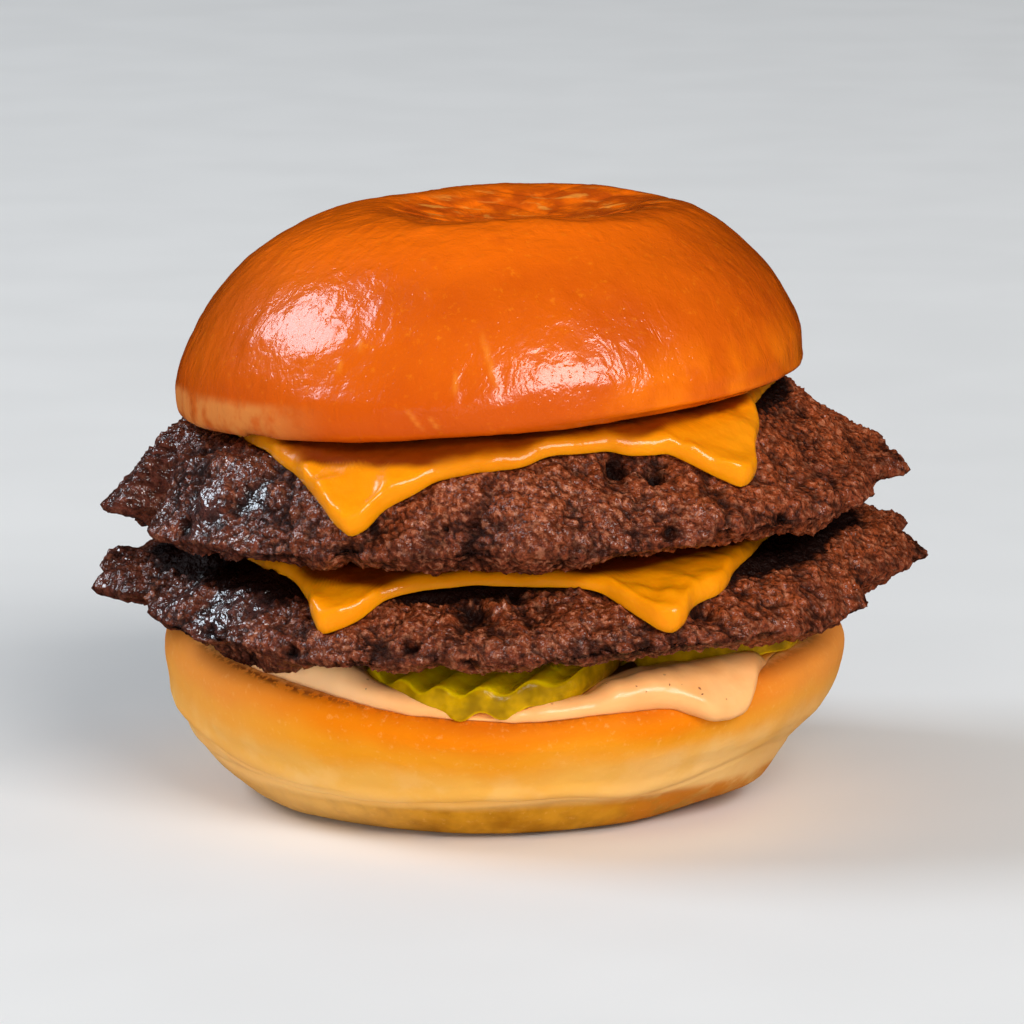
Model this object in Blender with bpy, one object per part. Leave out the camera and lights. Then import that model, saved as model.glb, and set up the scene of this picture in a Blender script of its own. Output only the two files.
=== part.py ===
"""Double smash burger: soft glazed bun, two loose thick-edged patties, a melted slice on each,
crinkle-cut pickle slices and a pink-orange sauce.

Lengths below are in millimetres and are turned into metres when a mesh is made.
The burger stands on the flat underside of its heel. +X is to the right of its front,
+Y runs from front to back, +Z is up. Bearings are degrees round the middle: 0 is right,
90 is back, 180 is left and -90 is the front.
"""

import math
import random

import bmesh
import bpy
from mathutils import Vector

# ---------------------------------------------------------------- driving sizes
MM = 0.001
GAP = 0.5  # air left between two pieces that touch

HEEL_R = 52.8  # heel (lower bun), widest
HEEL_FOOT_R = 34.5  # flat spot that it stands on
HEEL_LEAN = 2.2  # how far the foot is off to the left
HEEL_CUT_Z = 20.2  # middle of its cut face
HEEL_RIM_Z = 21.2  # cut edge at the front and back, where it is pressed down
HEEL_RIM_RISE = 6.2  # how much higher the cut edge is at left and right
HEEL_FOLD_Z = 5.0  # fold where the side bulges over the underside

CROWN_R = 48.3  # crown (upper bun), widest
CROWN_X = -2.1  # its middle, off the heel's
CROWN_TOP_Z = 90.3
CROWN_LEAN = 0.042  # how much the top leans up to the right
DENT_R = 17.0  # dent in the top of the crown
DENT_DEPTH = 3.4
DENT_X = 7.0

LOWER_TOP_Z = 40.3  # shoulder of the lower patty
LOWER_UNDER_Z = 30.6
LOWER_TILT = 0.035
UPPER_TOP_Z = 59.8  # shoulder of the upper patty
UPPER_TILT = 0.064
DOME = 1.2  # how much higher a patty is in its middle than at its shoulder

SLICE_T = 2.1  # melted slice, thickness
SAUCE_GAP = 0.55
SAUCE_T = 1.4
PICKLE_T = 3.2
PICKLE_WAVE = 6.2  # pitch of the crinkle cut
PICKLE_AMP = 0.55

AROUND = 56  # facets round a patty and a slice
SLICE_RINGS = [30.0, 43.0, 47.0, 51.0, 56.0]  # lengths from the middle, shared by a patty and the slice on it
SAUCE_RINGS = [30.0, 43.0, 47.3, 49.5, 51.6]
BUN_AROUND = 44
COLOURS = {
    "crown": (0.62, 0.20, 0.03),
    "heel": (0.80, 0.45, 0.15),
    "patty": (0.13, 0.055, 0.035),
    "slice": (0.95, 0.42, 0.02),
    "pickle": (0.33, 0.32, 0.03),
    "sauce": (0.87, 0.53, 0.30),
}
ROUGHNESS = {
    "crown": 0.3,
    "heel": 0.55,
    "patty": 0.45,
    "slice": 0.3,
    "pickle": 0.3,
    "sauce": 0.3,
}


# ---------------------------------------------------------------- small maths
def step(a, b, x):
    """0 before a, 1 after b, smooth between."""
    t = min(1.0, max(0.0, (x - a) / (b - a)))
    return t * t * (3.0 - 2.0 * t)


def turn(a, b):
    """Bearing a less bearing b, from -180 to 180."""
    return (a - b + 180.0) % 360.0 - 180.0


def lobe(bearing, at, width):
    """A smooth bump of height 1, `width` degrees from its middle to 1/e."""
    return math.exp(-((turn(bearing, at) / width) ** 2))


def waves(seed, first, last, fall):
    """A repeatable uneven function of a bearing, made of a few harmonics."""
    dice = random.Random(seed)
    parts = [
        (k, dice.uniform(0.5, 1.0) / k**fall, dice.uniform(0, 2 * math.pi))
        for k in range(first, last + 1)
    ]
    size = math.sqrt(sum(a * a for _, a, _ in parts) / 2)

    def f(bearing):
        t = math.radians(bearing)
        return sum(a * math.sin(k * t + p) for k, a, p in parts) / size

    return f


def smooth_line(stations, per=8):
    """A smooth line through a few (radius, height) stations, Catmull-Rom by chord length."""
    pts = [Vector(s) for s in stations]
    out = []
    for i in range(len(pts) - 1):
        p1, p2 = pts[i], pts[i + 1]
        p0 = pts[i - 1] if i else p1 + (p1 - p2)
        p3 = pts[i + 2] if i + 2 < len(pts) else p2 + (p2 - p1)
        d0, d1, d2 = (max(1e-6, (b - a).length) ** 0.5 for a, b in ((p0, p1), (p1, p2), (p2, p3)))
        m1 = (p2 - p1) / d1 - (p2 - p0) / (d0 + d1) + (p1 - p0) / d0
        m2 = (p3 - p2) / d2 - (p3 - p1) / (d1 + d2) + (p2 - p1) / d1
        m1, m2 = m1 * d1, m2 * d1
        for k in range(per):
            t = k / per
            t2, t3 = t * t, t * t * t
            out.append(
                p1 * (2 * t3 - 3 * t2 + 1) + m1 * (t3 - 2 * t2 + t) + p2 * (3 * t2 - 2 * t3) + m2 * (t3 - t2)
            )
    out.append(pts[-1])
    return out


class Line:
    """A smooth line in the plane of one bearing, read by its length from the middle."""

    def __init__(self, stations):
        self.p = smooth_line(stations)
        self.s = [0.0]
        for a, b in zip(self.p, self.p[1:]):
            self.s.append(self.s[-1] + (b - a).length)
        self.length = self.s[-1]

    def at(self, s, off=0.0):
        """The point at length s, moved `off` to the line's left (outwards, for a line that runs from the middle out)."""
        s = min(max(s, 0.0), self.length)
        i = 0
        while i < len(self.s) - 2 and self.s[i + 1] < s:
            i += 1
        k = (s - self.s[i]) / max(1e-9, self.s[i + 1] - self.s[i])
        here = self.p[i].lerp(self.p[i + 1], k)
        a = self.p[i] - self.p[max(0, i - 1)]
        b = self.p[i + 1] - self.p[i]
        c = self.p[min(len(self.p) - 1, i + 2)] - self.p[i + 1]
        way = (a.normalized() if i else b.normalized()) * (1 - k) + b.normalized() + c.normalized() * k
        way.normalize()
        return here + Vector((-way.y, way.x)) * off

    def height(self, r):
        """The line's height at radius r, on its first way out."""
        for a, b in zip(self.p, self.p[1:]):
            if b.x >= r > a.x or (a.x <= r <= b.x):
                return a.y + (b.y - a.y) * (r - a.x) / max(1e-9, b.x - a.x)
        return self.p[-1].y


# ---------------------------------------------------------------- heel
heel_uneven = waves(11, 2, 5, 0.6)


def heel_rim(b):
    return HEEL_RIM_Z + HEEL_RIM_RISE * abs(math.cos(math.radians(b))) ** 1.6


def heel_stations(b):
    """Cut face from the middle to the rim, then down the side and under the fold to the foot."""
    z, r = heel_rim(b), HEEL_R + 0.35 * heel_uneven(b)
    rise = z - HEEL_CUT_Z
    fold = HEEL_FOLD_Z + 0.5 * heel_uneven(b + 40)
    top = [(33.0, HEEL_CUT_Z + 0.20 * rise), (41.5, HEEL_CUT_Z + 0.52 * rise), (46.8, z - 0.9), (49.6, z - 0.1)]
    side = [
        (r - 1.0, z - 1.6),
        (r - 0.2, z - 4.0),
        (r - 1.2, 15.0),
        (r - 3.9, 11.0),
        (r - 7.4, 7.2),
    ]
    under = [(r - 9.7, fold), (r - 10.6, fold - 0.9), (r - 14.4, 1.2), (HEEL_FOOT_R, 0.0)]
    return top, side, under


def heel_line(b):
    """What the sauce lies on: the cut face, the rim and the upper side."""
    top, side, _ = heel_stations(b)
    return Line([(0.0, HEEL_CUT_Z), *top, *side[:3]])


# ---------------------------------------------------------------- patties
lower_edge = waves(23, 3, 13, 0.35)
upper_edge = waves(37, 3, 13, 0.35)
lower_tear = waves(71, 11, 26, 0.0)
upper_tear = waves(83, 11, 26, 0.0)
patty_lumps = waves(41, 2, 9, 0.4)


def side_ness(b):
    """1 at left and right, 0 at the front and back."""
    return abs(math.cos(math.radians(b))) ** 1.5


def lower_face(r, b):
    x = r * math.cos(math.radians(b))
    return LOWER_TOP_Z + LOWER_TILT * x + DOME * (1 - (r / 44.0) ** 2)


def upper_face(r, b):
    x = r * math.cos(math.radians(b))
    return UPPER_TOP_Z + UPPER_TILT * x + DOME * (1 - (r / 44.0) ** 2)


def over_chips(r, b, z):
    """z, or as much higher as the pickle slices below need."""
    x, y = r * math.cos(math.radians(b)), r * math.sin(math.radians(b))
    for _, middle, radius, plane, _ in CHIPS:
        if math.hypot(x - middle[0], y - middle[1]) < radius + 2.5:
            z = max(z, chip_plane(middle, plane, x, y) + 0.5 * PICKLE_T + PICKLE_AMP + GAP)
    return z


def lower_under(r, b):
    x = r * math.cos(math.radians(b))
    return LOWER_UNDER_Z + 0.045 * x - 0.6 * (r / 46.0) ** 2


def lower_stations(b):
    """Top face, flank that slopes to a thin ragged edge, and the underside."""
    c = math.cos(math.radians(b))
    side = side_ness(b)
    rs = 44.0 + 3.4 * side + 0.5 * patty_lumps(b)
    rt = 57.0 + (5.2 if c < 0 else 7.4) * side + 0.5 * lower_edge(b)
    zt = 31.3 + (-0.6 if c < 0 else 4.4) * side + 0.5 * lower_edge(b + 90)
    zs = lower_face(rs, b)
    drop, out = zs - zt, rt - rs
    top = [(20.0, lower_face(20.0, b)), (34.0, lower_face(34.0, b)), (rs, zs)]
    flank = [
        (rs + 0.30 * out, zs - 0.13 * drop),
        (rs + 0.62 * out, zs - 0.42 * drop),
        (rt - 1.3, zt + 0.27 * drop),
        (rt, zt),
    ]
    foot = 28.6 + (0.3 if c < 0 else 1.3) * side - 2.2 * lobe(b, -140, 17) - 0.4 * lobe(b, -88, 9) + 0.7 * lobe(b, -62, 16)
    foot -= 1.0 * lobe(b, 150, 20)
    under = [
        (rt - 1.5, zt - 0.8),
        (53.6 - 0.8 * side, min(foot, zt - 1.2)),
        *[(r, over_chips(r, b, max(foot + 0.4, lower_under(r, b)))) for r in (50.2, 46.0, 38.0, 24.0)],
    ]
    return top, flank, under


def upper_stations(b):
    c = math.cos(math.radians(b))
    side = side_ness(b)
    rs = 44.2 + (1.6 if c < 0 else -0.6) * side + 0.4 * patty_lumps(b + 77)
    rt = 56.2 + (4.8 if c < 0 else 5.6) * side + 0.5 * upper_edge(b)
    zt = 46.8 + (-3.0 if c < 0 else 2.8) * side + 0.5 * upper_edge(b + 90)
    zs = upper_face(rs, b)
    drop, out = zs - zt, rt - rs
    top = [(20.0, upper_face(20.0, b)), (33.0, upper_face(33.0, b)), (rs, zs)]
    flank = [
        (rs + 0.30 * out, zs - (0.13 + 0.05 * max(0.0, c)) * drop),
        (rs + 0.64 * out, zs - (0.44 + 0.06 * max(0.0, c)) * drop),
        (rt - 1.1, zt + 0.24 * drop),
        (rt, zt),
    ]

    def low(r):
        return lower_face(r, b) + SLICE_T + 2.1 * GAP

    foot = 42.9 + (0.6 if c < 0 else 3.0) * side - 0.5 * lobe(b, -150, 20) + 0.9 * lobe(b, -60, 14)
    under = [
        (rt - 1.2 - 0.8 * side, zt - 1.6),
        (0.35 * rt + 0.65 * 51.5, foot),
        (49.0, foot + 0.3),
        (43.0, max(foot + 0.4, low(43.0) + 0.1)),
        (24.0, low(24.0) + 0.1),
    ]
    return top, flank, under


def patty_line(stations, b):
    """What a slice lies on: the top face and the flank."""
    top, flank, _ = stations(b)
    face = lower_face if stations is lower_stations else upper_face
    return Line([(0.0, face(0.0, b)), *top, *flank])


# ---------------------------------------------------------------- melted slices
def slice_reach(corners, drips):
    """How far a four-cornered slice reaches from the middle at a bearing, along the patty it lies on.
    corners: (bearing, reach) of each corner. drips: (bearing, extra reach, width in degrees)."""
    pts = [Vector((r * math.cos(math.radians(b)), r * math.sin(math.radians(b)))) for b, r in corners]

    def f(b):
        way = Vector((math.cos(math.radians(b)), math.sin(math.radians(b))))
        soft = 0.0
        for p, q in zip(pts, pts[1:] + pts[:1]):
            n = Vector(((q - p).y, -(q - p).x)).normalized()
            d = p.dot(n)
            k = way.dot(n)
            if k > 0.05:
                soft += (k / d) ** 14
        return soft ** (-1.0 / 14) + sum(h * lobe(b, at, w) for at, h, w in drips)

    return f


UPPER_SLICE = slice_reach(
    [(-115.7, 63.0), (-45, 57.5), (60, 57.0), (149, 57.5)],
    [(-115.7, 1.6, 6), (-45, 2.4, 7), (-64, 1.2, 6), (62, 2.0, 9), (146, 2.5, 9), (100, 2.0, 9)],
)
LOWER_SLICE = slice_reach(
    [(-133, 54.5), (-43, 55.0), (46, 56.5), (137, 56.0)],
    [(-121, 12.5, 8.5), (-64.3, 15.5, 8), (-50, 2.0, 8), (44, 1.5, 9), (112, 7.0, 10), (140, 1.5, 10)],
)


# ---------------------------------------------------------------- crown
crown_uneven = waves(53, 2, 6, 0.7)


def crown_rim(b):
    """Height of the crown's lower edge: it sits lower on the left."""
    t = math.radians(b)
    return 61.9 + 3.7 * math.cos(t) - 0.5 * math.sin(t)


def crown_stations(b):
    """Outside from near the middle of the top to the lower edge. Radii are from CROWN_X."""
    c = math.cos(math.radians(b))
    r = CROWN_R + 0.3 * crown_uneven(b)
    z, t = crown_rim(b), CROWN_TOP_Z

    def up(q, h):
        return (q, h + CROWN_LEAN * q * c)

    out = [
        up(12.0, t - 0.2),
        up(20.0, t - 0.1),
        up(26.5, t - 0.9),
        up(33.0, t - 3.5),
        up(39.0, t - 8.0),
        up(43.8, t - 13.8),
        up(46.9, t - 20.0),
        (r + 0.7 * max(0.0, c), z + 6.0 - 1.8 * c * c),
        (r - 0.2 - 0.6 * max(0.0, c), z + 2.2),
    ]
    q = r - 0.9 - 1.8 * max(0.0, c)
    over, bearing = from_heel(q, b)
    line = patty_line(upper_stations, bearing)
    if over < line.at(UPPER_SLICE(bearing), GAP + SLICE_T).x + 2.0:
        z = max(z, line.height(over) + 1.3 * GAP + SLICE_T + 0.3)
    return out, (q, z)


def from_heel(q, b):
    """Radius and bearing from the heel's middle of a point given from the crown's."""
    t = math.radians(b)
    x, y = CROWN_X + q * math.cos(t), q * math.sin(t)
    return math.hypot(x, y), math.degrees(math.atan2(y, x))


def crown_under(q, b):
    """Cut face of the crown at radius q from CROWN_X: it rests on the upper slice, and sags a little where that ends."""
    r, bearing = from_heel(q, b)
    line = patty_line(upper_stations, bearing)
    past = r - line.at(UPPER_SLICE(bearing), GAP + SLICE_T).x
    held = SLICE_T + GAP
    return line.height(r) + 1.5 * GAP + held - 1.2 * step(1.5, 5.0, past)


def dent(x, y, z):
    """The soft dent pressed into the top of the crown, with its raised lip."""
    d = math.hypot((x - DENT_X) / 1.12, y)
    bearing = math.degrees(math.atan2(y, x - DENT_X))
    rim = DENT_R * (1 + 0.05 * crown_uneven(bearing + 20))
    return z - DENT_DEPTH * (1 - step(0.25 * rim, rim, d)) + 0.5 * math.exp(-(((d - 1.12 * rim) / 4.0) ** 2))


# ---------------------------------------------------------------- mesh builders
def material(name):
    mat = bpy.data.materials.get(name) or bpy.data.materials.new(name)
    mat.use_nodes = True
    shader = mat.node_tree.nodes["Principled BSDF"]
    shader.inputs["Base Color"].default_value = (*COLOURS[name], 1.0)
    shader.inputs["Roughness"].default_value = ROUGHNESS[name]
    shader.inputs["Metallic"].default_value = 0.0
    return mat


def finish_object(bm, name, look, sharp=50.0):
    bmesh.ops.recalc_face_normals(bm, faces=bm.faces)
    mesh = bpy.data.meshes.new(name)
    bm.to_mesh(mesh)
    bm.free()
    mesh.shade_smooth()
    mesh.set_sharp_from_angle(angle=math.radians(sharp))
    obj = bpy.data.objects.new(name, mesh)
    obj.data.materials.append(material(look))
    bpy.context.scene.collection.objects.link(obj)
    return obj


def skin(name, rings, around, look, flat_start=False, flat_end=False, bend=None):
    """A closed body from rings of points: ring(b) gives (radius, height) at bearing b. Each ring is a
    circle whose points are moved out to their place, and each pair of rings is bridged."""
    bm = bmesh.new()
    loops = []
    for ring in rings:
        made = bmesh.ops.create_circle(bm, cap_ends=False, segments=around, radius=1.0)
        verts = made["verts"]
        for v in verts:
            b = math.degrees(math.atan2(v.co.y, v.co.x))
            r, z = ring(b)
            v.co = Vector((r * math.cos(math.radians(b)), r * math.sin(math.radians(b)), z))
            if bend:
                v.co = Vector(bend(*v.co))
        loops.append(list({e for v in verts for e in v.link_edges}))
    for a, b in zip(loops, loops[1:]):
        bmesh.ops.bridge_loops(bm, edges=a + b)
    for loop, flat in ((loops[0], flat_start), (loops[-1], flat_end)):
        cap = bmesh.ops.contextual_create(bm, geom=loop)["faces"]
        if not flat:
            bmesh.ops.poke(bm, faces=cap)
    bmesh.ops.scale(bm, vec=(MM, MM, MM), verts=bm.verts)
    return finish_object(bm, name, look)


def lines_at(fn):
    """Remembers fn(b) for each bearing."""
    kept = {}

    def f(b):
        key = round(b, 4)
        if key not in kept:
            kept[key] = fn(b)
        return kept[key]

    return f


def along(line_of, share):
    """A ring at a share of each bearing's line."""

    def ring(b):
        line = line_of(b)
        return tuple(line.at(share * line.length))

    return ring


def ragged(line_of, tear):
    """The torn edge of a patty: the end of its line, with teeth that are longest at left and right."""

    def ring(b):
        x, z = line_of(b).at(1e9)
        return x + (0.45 + 0.75 * side_ness(b)) * tear(b), z + 0.5 * tear(b + 180.0)

    return ring


def coat(name, line_of, reach, thickness, gap, lengths, around, look):
    """A layer that lies on a line and follows it over its edge: the outer side at gap + thickness, a rounded
    tip at its reach, and the inner side back to the middle at gap. Each ring is at one of the lengths along
    the line, drawn in to the reach where that is shorter."""
    n = len(lengths)

    def end(b):
        return min(reach(b), line_of(b).length - 1.0)

    def place(k, b):
        return min(lengths[k], end(b) - 0.45 * (n - k))

    def outer(k):
        def ring(b):
            line, s = line_of(b), place(k, b)
            return tuple(line.at(s, gap + thickness(b, s, line.at(s, gap))))

        return ring

    def tip(off, back, lift):
        def ring(b):
            line, s = line_of(b), end(b) - back
            return tuple(line.at(s, gap + lift + off * thickness(b, s, line.at(s, gap))))

        return ring

    def inner(k):
        return lambda b: tuple(line_of(b).at(place(k, b), gap))

    rings = [outer(k) for k in range(n)]
    rings += [tip(0.75, 0.25, 0.0), tip(0.25, 0.0, 0.15)]
    rings += [inner(k) for k in reversed(range(n))]
    return skin(name, rings, around, look)


def pickle_slice(name, at, radius, plane, ridge_bearing):
    """A round chip with crinkle-cut faces and a rounded rim, lying as chip_plane says (height at its middle, rise
    to the right, rise to the back, bend). The ridges run along ridge_bearing."""
    bm = bmesh.new()
    t = math.radians(ridge_bearing)
    along_way, across_way = Vector((math.cos(t), math.sin(t))), Vector((-math.sin(t), math.cos(t)))
    n = 4 * round(2 * radius / PICKLE_WAVE)
    sections = []
    for i in range(n + 1):
        u = radius * 0.99 * math.sin(0.5 * math.pi * (2.0 * i / n - 1.0))
        half = math.sqrt(radius * radius - u * u)
        wave = PICKLE_AMP * math.cos(2 * math.pi * u / PICKLE_WAVE)
        ring = []
        for v, side in ((-1, 0), (-0.93, 1), (0.93, 1), (1, 0), (0.93, -1), (-0.93, -1)):
            p = Vector(at) + along_way * (v * half) + across_way * u
            z = chip_plane(at, plane, p.x, p.y) + wave + side * 0.5 * PICKLE_T
            ring.append(bm.verts.new((p.x, p.y, z)))
        sections.append([bm.edges.new((ring[k], ring[(k + 1) % 6])) for k in range(6)])
    for a, b in zip(sections, sections[1:]):
        bmesh.ops.bridge_loops(bm, edges=a + b)
    for end in (sections[0], sections[-1]):
        bmesh.ops.contextual_create(bm, geom=end)
    bmesh.ops.scale(bm, vec=(MM, MM, MM), verts=bm.verts)
    return finish_object(bm, name, "pickle", sharp=55.0)


# ---------------------------------------------------------------- pickle places
def chip_plane(at, plane, x, y):
    """Middle height of a chip at a point: tilted, and bent up to both sides by the dished heel."""
    return plane[0] + plane[1] * (x - at[0]) + plane[2] * (y - at[1]) + plane[3] * (x - at[0]) ** 2


CHIPS = [
    # name, middle, radius, plane, bearing of the ridges
    ("pickle_1", (-1.3, -31.6), 18.6, (24.7, 0.03, 0.0, 0.0060), 67.0),
    ("pickle_2", (30.4, -20.2), 14.2, (27.5, 0.125, -0.03, 0.0020), 60.0),
    ("pickle_3", (-21.5, 26.0), 15.6, (26.1, -0.10, 0.0, 0.0035), 118.0),
    ("pickle_4", (14.5, 30.0), 17.0, (25.3, 0.05, 0.02, 0.0050), 80.0),
]


# ---------------------------------------------------------------- sauce
sauce_uneven = waves(67, 3, 11, 0.5)


def sauce_reach(b):
    """How far the sauce goes from the middle along the heel's cut face and over its rim."""
    edge = 50.9  # about the length to the cut edge
    spill = (
        0.3 * lobe(b, -85, 30)
        + 0.6 * lobe(b, -104, 9)
        + 4.8 * lobe(b, -52, 9)
        + 1.2 * lobe(b, -70, 9)
        + 2.4 * lobe(b, 58, 9)
        + 1.6 * lobe(b, 101, 14)
        + 2.2 * lobe(b, 133, 8)
    )
    held = 3.6 * side_ness(b) ** 1.6
    return edge + spill - held + 0.3 * sauce_uneven(b)


def sauce_thickness(b, s, at):
    """Swollen by the rim where nothing presses it, thin under the chips."""
    swell = 1.9 * lobe(b, -47, 15) + 0.8 * lobe(b, -140, 12) + 1.0 * lobe(b, 62, 15) + 0.8 * lobe(b, 120, 15)
    t = SAUCE_T + step(41.0, 46.5, s) * swell
    t *= 1.0 - 0.3 * step(50.5, 54.0, s)
    x, y = at[0] * math.cos(math.radians(b)), at[0] * math.sin(math.radians(b))
    for _, middle, radius, plane, _ in CHIPS:
        free = math.hypot(x - middle[0], y - middle[1]) - radius
        roof = chip_plane(middle, plane, x, y) - 0.5 * PICKLE_T - PICKLE_AMP - 0.35
        limit = max(0.45, roof - at[1]) + 4.0 * step(0.5, 3.5, free)
        t = min(t, limit)
    return t


# ---------------------------------------------------------------- build
def build():
    for old in list(bpy.data.objects):
        bpy.data.objects.remove(old, do_unlink=True)

    # heel
    def settle(x, y, z):
        return (x - HEEL_LEAN * (1.0 - step(4.0, 20.0, z)), y, z)

    heel = lines_at(lambda b: [s for part in heel_stations(b) for s in part])
    rings = [lambda b, k=k: heel(b)[k] for k in range(len(heel(0.0)))]
    skin("heel", rings, BUN_AROUND, "heel", flat_end=True, bend=settle)

    # patties and the slice on each: a slice's rings lie over rings of its patty
    for level, stations, reach, tear in (
        ("lower", lower_stations, LOWER_SLICE, lower_tear),
        ("upper", upper_stations, UPPER_SLICE, upper_tear),
    ):
        line_of = lines_at(lambda b, s=stations: patty_line(s, b))
        rings = [lambda b, s=s, l=line_of: tuple(l(b).at(s)) for s in SLICE_RINGS]
        rings.append(lambda b, l=line_of: tuple(l(b).at(0.45 * 56.0 + 0.55 * l(b).length)))
        rings.append(ragged(line_of, tear))
        for k in range(len(stations(0.0)[2])):
            rings.append(lambda b, k=k, st=stations: st(b)[2][k])
        skin("patty_" + level, rings, AROUND, "patty")
        coat("cheese_" + level, line_of, reach, lambda b, s, at: SLICE_T, GAP, SLICE_RINGS, AROUND, "slice")

    # sauce
    heel_top = lines_at(heel_line)
    coat("sauce", heel_top, sauce_reach, sauce_thickness, SAUCE_GAP, SAUCE_RINGS, BUN_AROUND, "sauce")

    # pickle slices
    for name, at, radius, plane, ridges in CHIPS:
        pickle_slice(name, at, radius, plane, ridges)

    # crown: turned about its own middle, then dented and set over
    outside = lines_at(lambda b: Line(crown_stations(b)[0]))
    rings = [along(outside, k) for k in (0.0, 0.13, 0.27, 0.40, 0.52, 0.63, 0.73, 0.82, 0.91, 1.0)]
    rings.append(lambda b: crown_stations(b)[1])
    rings += [lambda b, q=q: (q, crown_under(q, b)) for q in (43.8, 39.5, 32.0)]

    def set_over(x, y, z):
        if z > 80.0:
            z = dent(x + CROWN_X, y, z)
        return (x + CROWN_X, y, z)

    skin("crown", rings, BUN_AROUND, "crown", bend=set_over)

    # the middle of the whole outline goes over the origin
    bpy.context.view_layer.update()
    made = [o for o in bpy.data.objects if o.type == "MESH"]
    xs = [v.co.x for o in made for v in o.data.vertices]
    ys = [v.co.y for o in made for v in o.data.vertices]
    middle = ((min(xs) + max(xs)) / 2, (min(ys) + max(ys)) / 2)
    for o in made:
        o.location = (-middle[0], -middle[1], 0.0)
    return made


build()
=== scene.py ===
"""The looks of the smash burger: each CAD layer is replaced by a finely shaped piece built from the same
driving sizes, with procedural materials, a soft studio light and the camera."""

import math
import random

import bpy
import numpy as np
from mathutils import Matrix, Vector


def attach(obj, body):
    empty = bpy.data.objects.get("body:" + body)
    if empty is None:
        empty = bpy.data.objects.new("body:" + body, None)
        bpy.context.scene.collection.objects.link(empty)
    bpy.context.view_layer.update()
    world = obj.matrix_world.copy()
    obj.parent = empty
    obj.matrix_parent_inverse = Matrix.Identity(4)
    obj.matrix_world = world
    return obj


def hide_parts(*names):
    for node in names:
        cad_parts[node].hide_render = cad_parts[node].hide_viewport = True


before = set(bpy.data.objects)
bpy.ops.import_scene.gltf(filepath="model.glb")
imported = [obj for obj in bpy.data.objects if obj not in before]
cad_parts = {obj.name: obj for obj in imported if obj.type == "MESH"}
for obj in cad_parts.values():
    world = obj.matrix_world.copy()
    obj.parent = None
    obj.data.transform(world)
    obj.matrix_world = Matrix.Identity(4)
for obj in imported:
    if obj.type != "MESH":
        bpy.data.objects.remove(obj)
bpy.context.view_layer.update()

# Shapes are worked out in millimetres about the heel's axis, then moved by this much into the frame.
SHIFT = (-1.4309, 0.3650)
MM = 0.001


# ================================================================ small maths
def rad(b):
    return np.radians(b)


def step(a, b, x):
    t = np.clip((x - a) / (b - a), 0.0, 1.0)
    return t * t * (3.0 - 2.0 * t)


def turn(a, b):
    return (a - b + 180.0) % 360.0 - 180.0


def lobe(b, at, width):
    return np.exp(-((turn(b, at) / width) ** 2))


def through(points):
    """A smooth function of the bearing through (bearing, value) pairs, once round."""
    pts = sorted(points)
    at = np.array([p[0] for p in pts], float)
    v = np.array([p[1] for p in pts], float)
    at = np.concatenate([at[-2:] - 360.0, at, at[:2] + 360.0])
    v = np.concatenate([v[-2:], v, v[:2]])
    h = np.diff(at)
    d = np.diff(v) / h
    w1, w2 = 2 * h[1:] + h[:-1], h[1:] + 2 * h[:-1]
    same = d[:-1] * d[1:] > 1e-12
    safe0, safe1 = np.where(same, d[:-1], 1.0), np.where(same, d[1:], 1.0)
    m = np.zeros_like(v)
    m[1:-1] = np.where(same, (w1 + w2) / (w1 / safe0 + w2 / safe1), 0.0)

    def f(b):
        b = (np.asarray(b, float) + 180.0) % 360.0 - 180.0
        i = np.clip(np.searchsorted(at, b) - 1, 0, len(at) - 2)
        k = (b - at[i]) / h[i]
        k2, k3 = k * k, k * k * k
        return (
            (2 * k3 - 3 * k2 + 1) * v[i]
            + (k3 - 2 * k2 + k) * h[i] * m[i]
            + (3 * k2 - 2 * k3) * v[i + 1]
            + (k3 - k2) * h[i] * m[i + 1]
        )

    return f


def waves(seed, first, last, fall):
    """The same uneven function of a bearing that the CAD uses."""
    dice = random.Random(seed)
    parts = [
        (k, dice.uniform(0.5, 1.0) / k**fall, dice.uniform(0, 2 * math.pi))
        for k in range(first, last + 1)
    ]
    size = math.sqrt(sum(a * a for _, a, _ in parts) / 2)

    def f(bearing):
        t = rad(bearing)
        return sum(a * np.sin(k * t + p) for k, a, p in parts) / size

    return f


def hashed(ix, iy, iz, seed):
    """A repeatable number from 0 to 1 for each whole-number cell."""
    with np.errstate(over="ignore"):
        h = ix.astype(np.uint32) * np.uint32(0x9E3779B1)
        h ^= iy.astype(np.uint32) * np.uint32(0x85EBCA77)
        h ^= iz.astype(np.uint32) * np.uint32(0xC2B2AE3D)
        h ^= np.uint32((seed * 0x27D4EB2F + 0x165667B1) & 0xFFFFFFFF)
        h ^= h >> np.uint32(15)
        h *= np.uint32(0x2C1B3C6D)
        h ^= h >> np.uint32(12)
        h *= np.uint32(0x297A2D39)
        h ^= h >> np.uint32(15)
    return h.astype(np.float64) / 4294967296.0


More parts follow.
